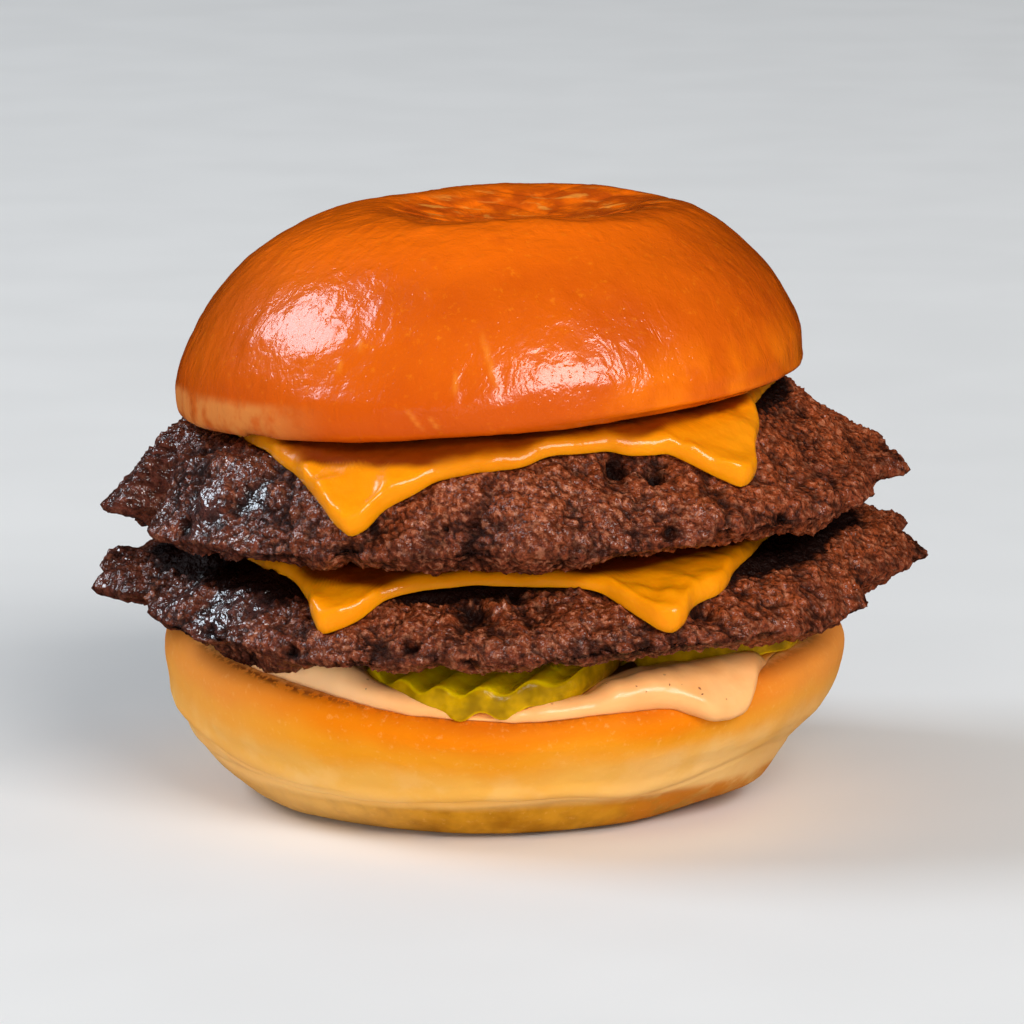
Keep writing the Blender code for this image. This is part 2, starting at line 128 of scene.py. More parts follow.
def noise(p, size, seed=0):
    """Smooth noise from -1 to 1, about `size` from one lump to the next."""
    q = p / size
    base = np.floor(q)
    f = q - base
    i = base.astype(np.int64)
    u = f * f * f * (f * (f * 6 - 15) + 10)
    total = np.zeros(len(p))
    for dx in (0, 1):
        wx = u[:, 0] if dx else 1 - u[:, 0]
        for dy in (0, 1):
            wy = u[:, 1] if dy else 1 - u[:, 1]
            for dz in (0, 1):
                wz = u[:, 2] if dz else 1 - u[:, 2]
                a = hashed(i[:, 0] + dx, i[:, 1] + dy, i[:, 2] + dz, seed) * 2 * math.pi
                c = hashed(i[:, 0] + dx, i[:, 1] + dy, i[:, 2] + dz, seed + 101) * 2 - 1
                s = np.sqrt(np.maximum(0, 1 - c * c))
                dot = (f[:, 0] - dx) * s * np.cos(a) + (f[:, 1] - dy) * s * np.sin(a) + (f[:, 2] - dz) * c
                total += wx * wy * wz * dot
    return total * 1.6


def fractal(p, size, octaves=3, seed=0):
    out, gain = np.zeros(len(p)), 1.0
    for k in range(octaves):
        out += gain * noise(p, size / 2**k, seed + 17 * k)
        gain *= 0.5
    return out


def warped(p, size, amount, seed):
    return p + amount * np.stack([noise(p, size, seed + k) for k in (1, 2, 3)], axis=1)


def cells(p, size, seed=0, jitter=0.9):
    """Distances to the nearest and second nearest of scattered points, and a number for the nearest."""
    q = p / size
    i = np.floor(q).astype(np.int64)
    one = np.full(len(p), 9.0)
    two = np.full(len(p), 9.0)
    own = np.zeros(len(p))
    for dx in (-1, 0, 1):
        for dy in (-1, 0, 1):
            for dz in (-1, 0, 1):
                cx, cy, cz = i[:, 0] + dx, i[:, 1] + dy, i[:, 2] + dz
                h = hashed(cx, cy, cz, seed)
                px = cx + 0.5 + jitter * (h - 0.5)
                py = cy + 0.5 + jitter * ((h * 57.31) % 1.0 - 0.5)
                pz = cz + 0.5 + jitter * ((h * 917.7) % 1.0 - 0.5)
                d = np.sqrt((q[:, 0] - px) ** 2 + (q[:, 1] - py) ** 2 + (q[:, 2] - pz) ** 2)
                nearer = d < one
                two = np.where(nearer, one, np.minimum(two, d))
                own = np.where(nearer, (h * 7919.3) % 1.0, own)
                one = np.where(nearer, d, one)
    return one, two, own


def smooth_lines(stations, per=10):
    """Catmull-Rom lines through K stations, one for each bearing: arrays (K, B, 2) in, (M, B, 2) out."""
    p = np.stack([np.stack(np.broadcast_arrays(r, z), axis=-1) for r, z in stations])
    p = np.concatenate([2 * p[:1] - p[1:2], p, 2 * p[-1:] - p[-2:-1]])
    out = []
    for i in range(len(p) - 3):
        p0, p1, p2, p3 = p[i], p[i + 1], p[i + 2], p[i + 3]
        d0, d1, d2 = (
            np.maximum(1e-6, np.linalg.norm(b - a, axis=-1, keepdims=True)) ** 0.5
            for a, b in ((p0, p1), (p1, p2), (p2, p3))
        )
        m1 = ((p2 - p1) / d1 - (p2 - p0) / (d0 + d1) + (p1 - p0) / d0) * d1
        m2 = ((p3 - p2) / d2 - (p3 - p1) / (d1 + d2) + (p2 - p1) / d1) * d1
        for k in range(per):
            t = k / per
            t2, t3 = t * t, t * t * t
            out.append(p1 * (2 * t3 - 3 * t2 + 1) + m1 * (t3 - 2 * t2 + t) + p2 * (3 * t2 - 2 * t3) + m2 * (t3 - t2))
    out.append(p[-2])
    return np.stack(out)


class Lines:
    """A smooth line in the plane of each bearing, read by its length from its start."""

    def __init__(self, bearings, stations, per=10):
        self.b = bearings
        full = [(np.broadcast_to(r, bearings.shape), np.broadcast_to(z, bearings.shape)) for r, z in stations]
        self.p = smooth_lines(full, per)
        seg = np.linalg.norm(np.diff(self.p, axis=0), axis=-1)
        self.s = np.concatenate([np.zeros((1, len(bearings))), np.cumsum(seg, axis=0)])
        self.length = self.s[-1]

    def at(self, s):
        """(R, B) lengths to (R, B) radii and heights."""
        s = np.clip(s, 0.0, self.length[None, :])
        r, z = np.empty_like(s), np.empty_like(s)
        for j in range(s.shape[1]):
            r[:, j] = np.interp(s[:, j], self.s[:, j], self.p[:, j, 0])
            z[:, j] = np.interp(s[:, j], self.s[:, j], self.p[:, j, 1])
        return r, z

    def normal(self, s, reach=0.6):
        r0, z0 = self.at(s - reach)
        r1, z1 = self.at(s + reach)
        dr, dz = r1 - r0, z1 - z0
        n = np.maximum(1e-9, np.hypot(dr, dz))
        return -dz / n, dr / n

    def off(self, s, gap, reach=0.6):
        r, z = self.at(s)
        nr, nz = self.normal(s, reach)
        return r + nr * gap, z + nz * gap


def place(r, z, b):
    """(R, B) radii and heights to (R, B, 3) points."""
    t = rad(b)[None, :]
    return np.stack([r * np.cos(t), r * np.sin(t), z], axis=-1)


def surface_normals(p):
    """Outward normals of a grid of rings that run from the top's middle outwards and under."""
    around = np.roll(p, -1, axis=1) - np.roll(p, 1, axis=1)
    along = np.gradient(p, axis=0)
    n = np.cross(along, around)
    return n / np.maximum(1e-12, np.linalg.norm(n, axis=-1, keepdims=True))


# ================================================================ meshes
def ring_mesh(name, p, values=None, first=None, last=None):
    """A closed body from a grid of rings (R, B, 3) in millimetres, closed at both ends by a middle point."""
    rings, around = p.shape[:2]
    pts = p.reshape(-1, 3)
    first = p[0].mean(axis=0) if first is None else np.array(first)
    last = p[-1].mean(axis=0) if last is None else np.array(last)
    pts = np.concatenate([pts, [first, last]])
    pts = (pts + np.array([SHIFT[0], SHIFT[1], 0.0])) * MM
    k = np.arange(around)
    nxt = (k + 1) % around
    quads = []
    for i in range(rings - 1):
        a, b = i * around, (i + 1) * around
        quads.append(np.stack([a + k, b + k, b + nxt, a + nxt], axis=1))
    quads = np.concatenate(quads)
    top, end = rings * around, rings * around + 1
    fan_top = np.stack([np.full(around, top), k, nxt], axis=1)
    e = (rings - 1) * around
    fan_end = np.stack([np.full(around, end), e + nxt, e + k], axis=1)
    mesh = bpy.data.meshes.new(name)
    n_loops = quads.size + fan_top.size + fan_end.size
    n_faces = len(quads) + 2 * around
    mesh.vertices.add(len(pts))
    mesh.vertices.foreach_set("co", pts.astype(np.float32).ravel())
    mesh.loops.add(n_loops)
    mesh.loops.foreach_set(
        "vertex_index", np.concatenate([quads.ravel(), fan_top.ravel(), fan_end.ravel()]).astype(np.int32)
    )
    starts = np.concatenate([np.arange(len(quads)) * 4, len(quads) * 4 + np.arange(2 * around) * 3])
    mesh.polygons.add(n_faces)
    mesh.polygons.foreach_set("loop_start", starts.astype(np.int32))
    mesh.update(calc_edges=True)
    mesh.validate()
    mesh.shade_smooth()
    for key, v in (values or {}).items():
        flat = np.concatenate([v.reshape(-1), [v[0].mean(), v[-1].mean()]]).astype(np.float32)
        mesh.attributes.new(key, "FLOAT", "POINT").data.foreach_set("value", flat)
    obj = bpy.data.objects.new(name, mesh)
    bpy.context.scene.collection.objects.link(obj)
    return obj


def hand_in(obj, node, look):
    obj.data.materials.clear()
    obj.data.materials.append(look)
    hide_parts(node)
    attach(obj, "root")
    return obj


# ================================================================ driving sizes, as in the CAD
GAP = 0.5
HEEL_R, HEEL_FOOT_R, HEEL_LEAN = 52.8, 34.5, 2.2
HEEL_CUT_Z, HEEL_RIM_Z, HEEL_RIM_RISE, HEEL_FOLD_Z = 20.2, 21.2, 6.2, 5.0
CROWN_R, CROWN_X, CROWN_TOP_Z, CROWN_LEAN = 48.3, -2.1, 90.3, 0.042
DENT_R, DENT_DEPTH, DENT_X = 20.5, 2.8, 4.5
LOWER_TOP_Z, LOWER_UNDER_Z, LOWER_TILT = 40.3, 30.6, 0.035
UPPER_TOP_Z, UPPER_TILT, DOME = 59.8, 0.064, 1.2
SLICE_T, SAUCE_GAP, SAUCE_T = 2.1, 0.55, 1.4
PICKLE_T, PICKLE_WAVE, PICKLE_AMP = 3.2, 6.2, 0.55

heel_uneven = waves(11, 2, 5, 0.6)
lower_edge = waves(23, 3, 13, 0.35)
upper_edge = waves(37, 3, 13, 0.35)
lower_tear = waves(71, 11, 26, 0.0)
upper_tear = waves(83, 11, 26, 0.0)
patty_lumps = waves(41, 2, 9, 0.4)
crown_uneven = waves(53, 2, 6, 0.7)
sauce_uneven = waves(67, 3, 11, 0.5)

CHIPS = [
    ("pickle_1", (-2.4, -31.7), 18.8, (24.7, 0.055, 0.0, 0.0038), 67.0),
    ("pickle_2", (30.4, -20.2), 14.2, (27.5, 0.125, -0.03, 0.0020), 60.0),
    ("pickle_3", (-21.5, 26.0), 15.6, (26.1, -0.10, 0.0, 0.0035), 118.0),
    ("pickle_4", (14.5, 30.0), 17.0, (25.3, 0.05, 0.02, 0.0050), 80.0),
]


def side_ness(b):
    return np.abs(np.cos(rad(b))) ** 1.5


def chip_plane(at, plane, x, y):
    return plane[0] + plane[1] * (x - at[0]) + plane[2] * (y - at[1]) + plane[3] * (x - at[0]) ** 2


# ================================================================ patties
def face_height(b, r, top, tilt):
    return top + tilt * r * np.cos(rad(b)) + DOME * (1 - (r / 44.0) ** 2)


def lower_face(r, b):
    return face_height(b, r, LOWER_TOP_Z, LOWER_TILT)


def upper_face(r, b):
    return face_height(b, r, UPPER_TOP_Z, UPPER_TILT)


def lower_sizes(b):
    c, side = np.cos(rad(b)), side_ness(b)
    rs = 44.0 + 3.4 * side + 0.5 * patty_lumps(b)
    rt = 57.0 + np.where(c < 0, 5.2, 7.4) * side + 0.5 * lower_edge(b)
    zt = 31.3 + np.where(c < 0, -0.6, 4.4) * side + 0.5 * lower_edge(b + 90)
    return c, side, rs, rt, zt


def lower_top(b):
    c, side, rs, rt, zt = lower_sizes(b)
    zs = lower_face(rs, b)
    drop, out = zs - zt, rt - rs
    right = np.maximum(0.0, c) ** 2
    return [
        (0.0, lower_face(0.0, b)),
        (20.0, lower_face(20.0, b)),
        (34.0, lower_face(34.0, b)),
        (rs, zs + 0.5 * right),
        (rs + 0.30 * out, zs - 0.13 * drop + 1.5 * right),
        (rs + 0.62 * out, zs - 0.42 * drop + 1.9 * right),
        (rt - 1.3, zt + 0.27 * drop + 0.5 * right),
        (rt, zt),
    ]


def over_chips(r, b, z):
    x, y = r * np.cos(rad(b)), r * np.sin(rad(b))
    for _, middle, radius, plane, _ in CHIPS:
        near = np.hypot(x - middle[0], y - middle[1]) < radius + 2.5
        need = chip_plane(middle, plane, x, y) + 0.5 * PICKLE_T + PICKLE_AMP + GAP
        z = np.where(near, np.maximum(z, need), z)
    return z


def lower_under(b):
    c, side, rs, rt, zt = lower_sizes(b)
    foot = 28.6 + np.where(c < 0, 0.3, 1.3) * side - 3.5 * lobe(b, -137, 16) - 0.4 * lobe(b, -88, 9)
    foot = foot + 0.7 * lobe(b, -62, 16) - 1.0 * lobe(b, 150, 20) + 1.0 * lobe(b, -117, 9)

    def floor(r):
        x = r * np.cos(rad(b))
        return np.maximum(foot + 0.4, LOWER_UNDER_Z + 0.045 * x - 0.6 * (r / 46.0) ** 2)

    lip = (rt - 0.1 - 0.4 * side, zt - 0.9 + 0.2 * side)
    shelf = (rt - 1.2 - 2.4 * side, zt - 2.0 + 0.4 * side)
    return [lip, shelf, (53.6 - 0.8 * side, np.minimum(foot, zt - 1.2))] + [
        (r, over_chips(r, b, floor(r))) for r in (50.2, 46.0, 38.0, 24.0)
    ]


def upper_sizes(b):
    c, side = np.cos(rad(b)), side_ness(b)
    rs = 44.2 + np.where(c < 0, 1.6, -0.6) * side + 0.4 * patty_lumps(b + 77)
    rt = 56.2 + np.where(c < 0, 4.8, 5.6) * side + 0.5 * upper_edge(b)
    zt = 46.8 + np.where(c < 0, -3.0, 2.8) * side + 0.5 * upper_edge(b + 90)
    return c, side, rs, rt, zt


def upper_top(b):
    c, side, rs, rt, zt = upper_sizes(b)
    zs = upper_face(rs, b)
    drop, out = zs - zt, rt - rs
    right, left = np.maximum(0.0, c), np.maximum(0.0, -c) ** 2
    return [
        (0.0, upper_face(0.0, b)),
        (20.0, upper_face(20.0, b)),
        (33.0, upper_face(33.0, b)),
        (rs, zs),
        (rs + 0.30 * out, zs - (0.13 + 0.15 * right - 0.07 * left) * drop),
        (rs + 0.64 * out, zs - (0.44 + 0.17 * right - 0.09 * left) * drop),
        (rt - 1.1 - 1.2 * left, zt + (0.24 - 0.06 * right) * drop),
        (rt, zt),
    ]


def upper_under(b):
    c, side, rs, rt, zt = upper_sizes(b)
    foot = 42.9 + np.where(c < 0, 0.6, 3.0) * side - 0.5 * lobe(b, -150, 20) + 1.5 * lobe(b, -56, 16)

    def low(r):
        return lower_face(r, b) + SLICE_T + 2.1 * GAP + 0.1

    lip = (rt - 0.1 - 0.4 * side, zt - 1.0 + 0.3 * side)
    shelf = (rt - 1.2 - 2.8 * side, zt - 2.4 + 0.9 * side)
    heavy = np.where(c < 0, 2.4 * side, 0.6 * side**3)
    return [
        lip,
        shelf,
        (0.35 * rt + 0.65 * 51.5 + 0.6 * side, foot - heavy),
        (49.0, foot + 0.3),
        (43.0, np.maximum(foot + 0.4, low(43.0))),
        (24.0, low(24.0)),
    ]


# How far each slice reaches from the middle along the patty, by bearing: corners, drips and the melted bays between.
UPPER_SLICE = through([
    (-165, 43.5), (-155, 43.9), (-145.5, 45.6), (-134, 48.7), (-126, 52.0), (-119.5, 56.2), (-115, 59.9),
    (-113, 60.9), (-111, 59.8), (-108.7, 56.2), (-104.5, 53.4), (-101.5, 51.4), (-97, 50.2), (-87, 49.2),
    (-82, 47.2), (-72, 46.4), (-66.5, 47.8), (-60.5, 48.8), (-57, 51.4), (-53, 55.2), (-50.5, 57.4), (-47, 56.2),
    (-43, 51.6), (-38, 48.2), (-33.5, 45.0), (-28.5, 42.6), (-12, 41.0), (8, 42.4), (25, 44.5), (42, 50.5),
    (58, 58.2), (66, 57.0), (74, 51.8), (90, 48.2), (104, 50.8), (118, 48.4), (134, 52.5), (146, 58.6), (154, 55.5),
    (168, 46.5), (-178, 44.0),
])
LOWER_SLICE = through([
    (-165, 43.6), (-152, 44.2), (-141, 45.6), (-133.5, 47.3), (-128, 49.3), (-123.6, 52.2), (-120.6, 55.8),
    (-118, 57.9), (-116, 57.1), (-113.5, 54.9), (-112, 52.6), (-110.3, 49.9), (-105, 47.6), (-94, 45.8),
    (-81.5, 47.2), (-76, 48.9), (-73.3, 50.6), (-71.3, 53.4), (-69, 57.2), (-67, 59.7), (-65.3, 60.4),
    (-63.5, 59.8), (-61.5, 57.8), (-59.0, 56.2), (-54.5, 55.0), (-49, 51.8), (-38, 47.2), (-28.5, 44.6), (-10, 43.0),
    (8, 43.2), (24, 46.5), (36, 52.5), (45, 57.4), (53, 54.5), (66, 49.5), (82, 47.0), (98, 48.5), (107, 53.5),
    (113, 56.6), (119, 53.4), (127, 52.4), (138, 57.2), (147, 53.0), (160, 46.5), (176, 43.6),
])

# Torn edges: how far each patty's edge goes out or in, and up or down, by bearing.
UPPER_OUT = through([
    (-180, 0.2), (-177.5, 1.1), (-174.5, 0.4), (-171.5, -7.2), (-166, -7.4), (-160, -4.6), (-154, -2.0), (-146, -1.4), (-136, -0.2),
    (-118, 0.0), (-90, 0.0), (-60, 0.0), (-45, -0.2), (-36, 0.4), (-29, -0.9), (-24, -0.4), (-18, -2.2), (-12, -4.8),
    (-8, -5.8), (-4.5, -4.2), (-1.2, 0.2), (2, 0.2), (6, -0.9), (11, -0.2), (17, -1.6), (24, 0.2), (31, -1.0), (42, 0.3),
    (55, -0.2), (75, 0.4), (95, -0.3), (120, 0.3), (138, -0.4), (148, 0.6), (155, -1.4), (161, 0.3), (167, -1.0), (173, 0.2),
])
UPPER_UP = through([
    (-178, -0.1), (-174, -0.2), (-167, 1.2), (-160, 0.6), (-150, -0.3), (-130, 0.0), (-90, 0.0), (-50, 0.0), (-30, -0.2), (-18, 0.8),
    (-10, 1.6), (0, 0.9), (12, 0.9), (30, 0.0), (90, 0.2), (150, -0.3), (165, 0.5),
])
LOWER_OUT = through([
    (-180, -1.4), (-176.5, -0.9), (-173, 1.3), (-169.5, -1.8), (-166.5, -1.4), (-163, -4.2), (-158, -3.0), (-152, -3.2), (-147, -1.9),
    (-140, -1.4), (-130, -0.4), (-118, 0.0), (-90, 0.0), (-60, 0.0), (-45, -0.3), (-36, -0.8), (-31, -1.4), (-26.5, -0.6), (-22.5, -4.4),
    (-16, -5.2), (-12, -3.6), (-8, -1.6), (-4, -1.8), (-1, 0.9), (2.5, 0.2), (7, -1.3), (13, -0.1), (19, -1.7), (27, -0.2),
    (36, -1.0), (50, 0.2), (70, -0.3), (90, 0.3), (110, -0.3), (130, 0.2), (146, -0.9), (154, 0.5), (160, -1.6), (165, -0.2),
    (168.5, -0.8), (172.5, 1.5), (176, 0.0),
])
LOWER_UP = through([
    (-178, 1.5), (-172, 0.7), (-166, 1.0), (-161, 2.2), (-153, 0.3), (-145, -0.4), (-130, 0.0), (-90, 0.0), (-64, 0.0), (-54, -0.5),
    (-44, -1.7), (-36, -2.5), (-29, -1.9), (-22, -0.5), (-12, 0.5), (-1, 0.4), (8, 2.5), (18, 2.0), (30, 0.5), (90, 0.2), (150, 0.3),
    (165, 1.6), (172, 2.4),
])
# Valleys between lumps of meat: bearing, lean in degrees for each mm of height, width in mm, depth in mm
UPPER_VALLEYS = [(-113, 0.5, 1.6, 1.2), (-124, -0.6, 1.4, 0.9), (-96, 0.4, 1.5, 0.8), (-76, -0.5, 1.6, 0.8),
                 (-58, 0.6, 1.6, 1.1), (-138, 0.7, 1.8, 1.0), (-33, -0.6, 1.8, 1.0), (70, 0.5, 1.6, 1.0), (120, -0.5, 1.7, 1.0)]
LOWER_VALLEYS = [(-109, 0.5, 1.7, 1.7), (-121, -0.5, 1.4, 0.9), (-98, 0.6, 1.4, 0.7), (-84, -0.4, 1.5, 0.9),
                 (-71, 0.5, 1.4, 1.2), (-56, -0.6, 1.6, 1.2), (-144, 0.6, 1.8, 1.0), (-40, 0.5, 1.7, 1.0),
                 (80, -0.5, 1.6, 1.0), (130, 0.5, 1.7, 1.0)]

# Deep holes in the meat: bearing, height, radius, depth
UPPER_HOLES = [(-70, 58.0, 1.3, 2.2), (-64.5, 49.4, 1.4, 2.6), (-63.5, 56.8, 1.3, 2.4), (-56, 47.5, 1.2, 2.0), (-99, 50.5, 0.8, 1.4),
               (-31, 52.5, 1.4, 2.0), (-146, 46.0, 1.3, 2.0), (-113.5, 45.8, 1.8, 2.2), (-45, 49.0, 1.2, 2.2)]
LOWER_HOLES = [(-75, 31.8, 1.7, 3.0), (-104, 33.0, 1.3, 2.2), (-58.5, 37.4, 1.3, 2.4), (-123, 30.5, 1.4, 2.4),
               (-50, 31.0, 1.5, 2.6), (-140, 31.0, 1.2, 2.0), (-95, 30.5, 1.0, 1.8), (-88, 39.5, 1.2, 1.2)]

# Smooth greasy spots: bearing, height, radius
UPPER_WET = [(-143.0, 49.2, 4.4), (-134.0, 52.2, 2.5), (-161.0, 51.4, 2.4)]
LOWER_WET = [(-140.5, 34.4, 4.2), (-150.0, 35.8, 2.6), (-133.0, 35.6, 2.2)]


def granules(q, size, seed):
    """Rounded crumbs with crevices between: height 0 to 1, how open the spot is, and a number for each crumb."""
    one, two, own = cells(q, size, seed)
    edge = step(0.0, 0.38, two - one)
    dome = 1.0 - np.clip(one / 0.85, 0.0, 1.0) ** 2
    return edge * (0.35 + 0.65 * dome) * (0.45 + 0.75 * own), edge, own


def patty(name, top_fn, under_fn, reach, tear, edge_out, edge_up, valleys, holes, wet_spots, shaded, seed):
    around = 860
    n_top, n_under = ((66, 36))
    b = np.linspace(-180, 180, around, endpoint=False)
    side = side_ness(b)
    top, under = Lines(b, top_fn(b)), Lines(b, under_fn(b))

    # lengths of the rings: few where a slice or the bun hides the meat, many where it shows
    hidden = np.array([22.0, 30.0, 35.0])[:, None] + np.zeros((1, around))
    k = np.linspace(0.0, 1.0, n_top)[:, None]
    shown = 38.0 + k * (top.length[None, :] - 38.0)
    s = np.concatenate([hidden, shown])
    r1, z1 = top.at(s)
    deep = under.length * 0.55
    k = np.linspace(0.0, 1.0, n_under)[:, None] ** 1.15
    r2, z2 = under.at(k * deep[None, :])
    r3, z3 = under.at(np.array([0.75, 1.0])[:, None] * under.length[None, :])
    r, z = np.concatenate([r1, r2, r3]), np.concatenate([z1, z2, z3])

    # torn edge: teeth and bays that die out inwards
    ang = np.stack([np.cos(rad(b)), np.sin(rad(b)), np.zeros(around)], axis=1) * 60.0
    fray = 0.7 * noise(ang, 6.0, seed + 5) + 0.7 * noise(ang, 3.0, seed + 6) + 0.45 * noise(ang, 1.5, seed + 7)
    bite = (0.12 + 0.75 * side) * (fray - 0.15) + 0.18 * side * tear(b)
    lift = (0.12 + 0.6 * side) * noise(ang, 4.0, seed + 8) + 0.2 * side * tear(b + 180.0)
    from_edge = np.concatenate([top.length[None, :] - s, k * deep[None, :], 40.0 + 0 * r3])
    thin = np.exp(-((from_edge / (1.4 + 2.4 * side[None, :])) ** 2))
    wide = np.exp(-((from_edge / (6.2 + 0.9 * np.abs(edge_out(b)))[None, :]) ** 2))
    r = r + bite[None, :] * thin + edge_out(b)[None, :] * wide
    z = z + lift[None, :] * thin + edge_up(b)[None, :] * wide

    p = place(r, z, b)
    n = surface_normals(p)
    flat, nf = p.reshape(-1, 3), n.reshape(-1, 3)
    bearing = np.degrees(np.arctan2(flat[:, 1], flat[:, 0]))
    side_here = side_ness(bearing)
    q = warped(flat, 4.0, 1.2, seed)
    q = warped(q, 1.3, 0.50, seed + 40)
    g1, e1, own1 = granules(q, 2.1, seed + 60)
    g2, e2, own2 = granules(q, 1.1, seed + 70)
    lumps = fractal(flat, 12.0, 3, seed + 80)
    mid_lumps = noise(warped(flat, 5.0, 1.5, seed + 86), 4.4, seed + 85)
    strands = 1.0 - np.abs(noise(warped(flat, 3.0, 1.0, seed + 88), 2.0, seed + 89)) * 2.0
    grain = 0.36 * (g1 - 0.5) + 0.40 * (g2 - 0.5) + 0.34 * (strands - 0.5)
    grain += 0.12 * noise(flat, 0.8, seed + 90)
    wet = np.zeros(len(flat))
    for at, height, size in wet_spots:
        away = np.hypot(turn(bearing, at) * math.pi / 180 * 56.0, flat[:, 2] - height) / size
        wet = np.maximum(wet, 1.0 - step(0.6, 1.25, away + 0.35 * noise(flat, 2.4, seed + 98)))
    d = grain * (1.0 - 0.55 * wet) + 1.20 * lumps + 0.62 * mid_lumps - 0.36

    # valleys and holes
    hole = np.zeros(len(flat))
    mid = z[len(s) - 1].mean()
    for at, lean, width, depth in valleys:
        wander = 2.0 * noise(flat, 7.0, seed + 95)
        away = turn(bearing, at + lean * (flat[:, 2] - mid)) * math.pi / 180 * 54.0 + wander
        v = np.exp(-((away / width) ** 2)) * step(47.0, 51.0, np.hypot(flat[:, 0], flat[:, 1]))
        d -= 0.6 * depth * v
        hole = np.maximum(hole, 0.40 * v)
    for at, height, size, depth in holes:
        away = np.hypot(turn(bearing, at) * math.pi / 180 * 54.0, (flat[:, 2] - height) * 1.1)
        away += 0.75 * noise(flat, 2.2, seed + 97) + 0.3 * noise(flat, 1.1, seed + 99)
        h = np.exp(-((away / size) ** 2))
        d -= depth * h
        hole = np.maximum(hole, h)

    # less on the thin edge, a flat bed under the slice, still where the body is hidden
    thick = step(0.0, 5.0, from_edge).reshape(-1)
    amount = (0.75 - 0.33 * side_here) + (0.25 + 0.33 * side_here) * thick
    rings = len(s)
    s_full = np.concatenate([s, 999.0 + 0 * r2, 999.0 + 0 * r3]).reshape(-1)
    reach_here = np.broadcast_to(reach(b)[None, :], r.shape).reshape(-1)
    bed = 1.0 - step(-1.0, 0.5, s_full - reach_here)
    d = d * amount * (1 - bed) + (0.25 * lumps - 0.55) * bed
    still = np.concatenate([0 * s, 0 * r2, 1 + 0 * r3]).reshape(-1)
    d = d * (1 - still)
    moved = flat + nf * d[:, None]

    # how much light each spot keeps: low in crevices, holes and valleys, where the colour gets painted shade
    open_spot = (0.62 + 0.38 * e1) * (0.60 + 0.40 * e2) * (0.6 + 0.4 * np.clip(0.5 + 0.9 * (g1 - 0.35), 0, 1))
    open_spot *= np.clip(0.82 + 0.38 * lumps + 0.36 * mid_lumps, 0.25, 1.0)
    open_spot *= 1.0 - 0.9 * hole
    # the strip that lies deep under the layer above is painted in shade
    run = np.concatenate([s, 99.0 + 0 * r2, 99.0 + 0 * r3]) - shaded[0] - shaded[1] * side[None, :]
    open_spot *= 0.05 + 0.95 * step(0.0, 4.5, run.reshape(-1))
    values = {
        "open": open_spot.reshape(r.shape),
        "crumb": (0.6 * own2 + 0.4 * own1).reshape(r.shape),
        "rim": np.exp(-((from_edge / 4.0) ** 2)),
        "wet": wet.reshape(r.shape),
    }
    return ring_mesh(name, moved.reshape(r.shape + (3,)), values), top


# ================================================================ melted slices
# Drops and folds that stand up on each slice: bearing, length from the middle, radius, height
UPPER_BEADS = [(-123.6, 51.6, 1.5, 0.55), (-119.0, 54.2, 1.3, 0.60), (-116.8, 53.4, 1.0, 0.45), (-108.6, 52.6, 1.4, 0.5), (-113.5, 57.4, 2.0, 0.5),
               (-69.5, 46.6, 1.0, 0.4), (-60.0, 47.6, 1.4, 0.5), (-56.5, 50.0, 1.2, 0.5), (-51.5, 54.2, 1.8, 0.5),
               (60, 54.0, 2.0, 0.5), (146, 54.5, 2.0, 0.5)]
LOWER_BEADS = [(-120.0, 53.6, 1.8, 0.5), (-72.5, 50.2, 1.1, 0.45), (-68.0, 53.2, 1.3, 0.55), (-64.8, 55.4, 1.6, 0.75), (-60.5, 53.0, 1.2, 0.5),
               (-65.5, 58.4, 1.4, 0.4), (44, 54.0, 2.0, 0.5), (113, 53.5, 2.0, 0.5)]


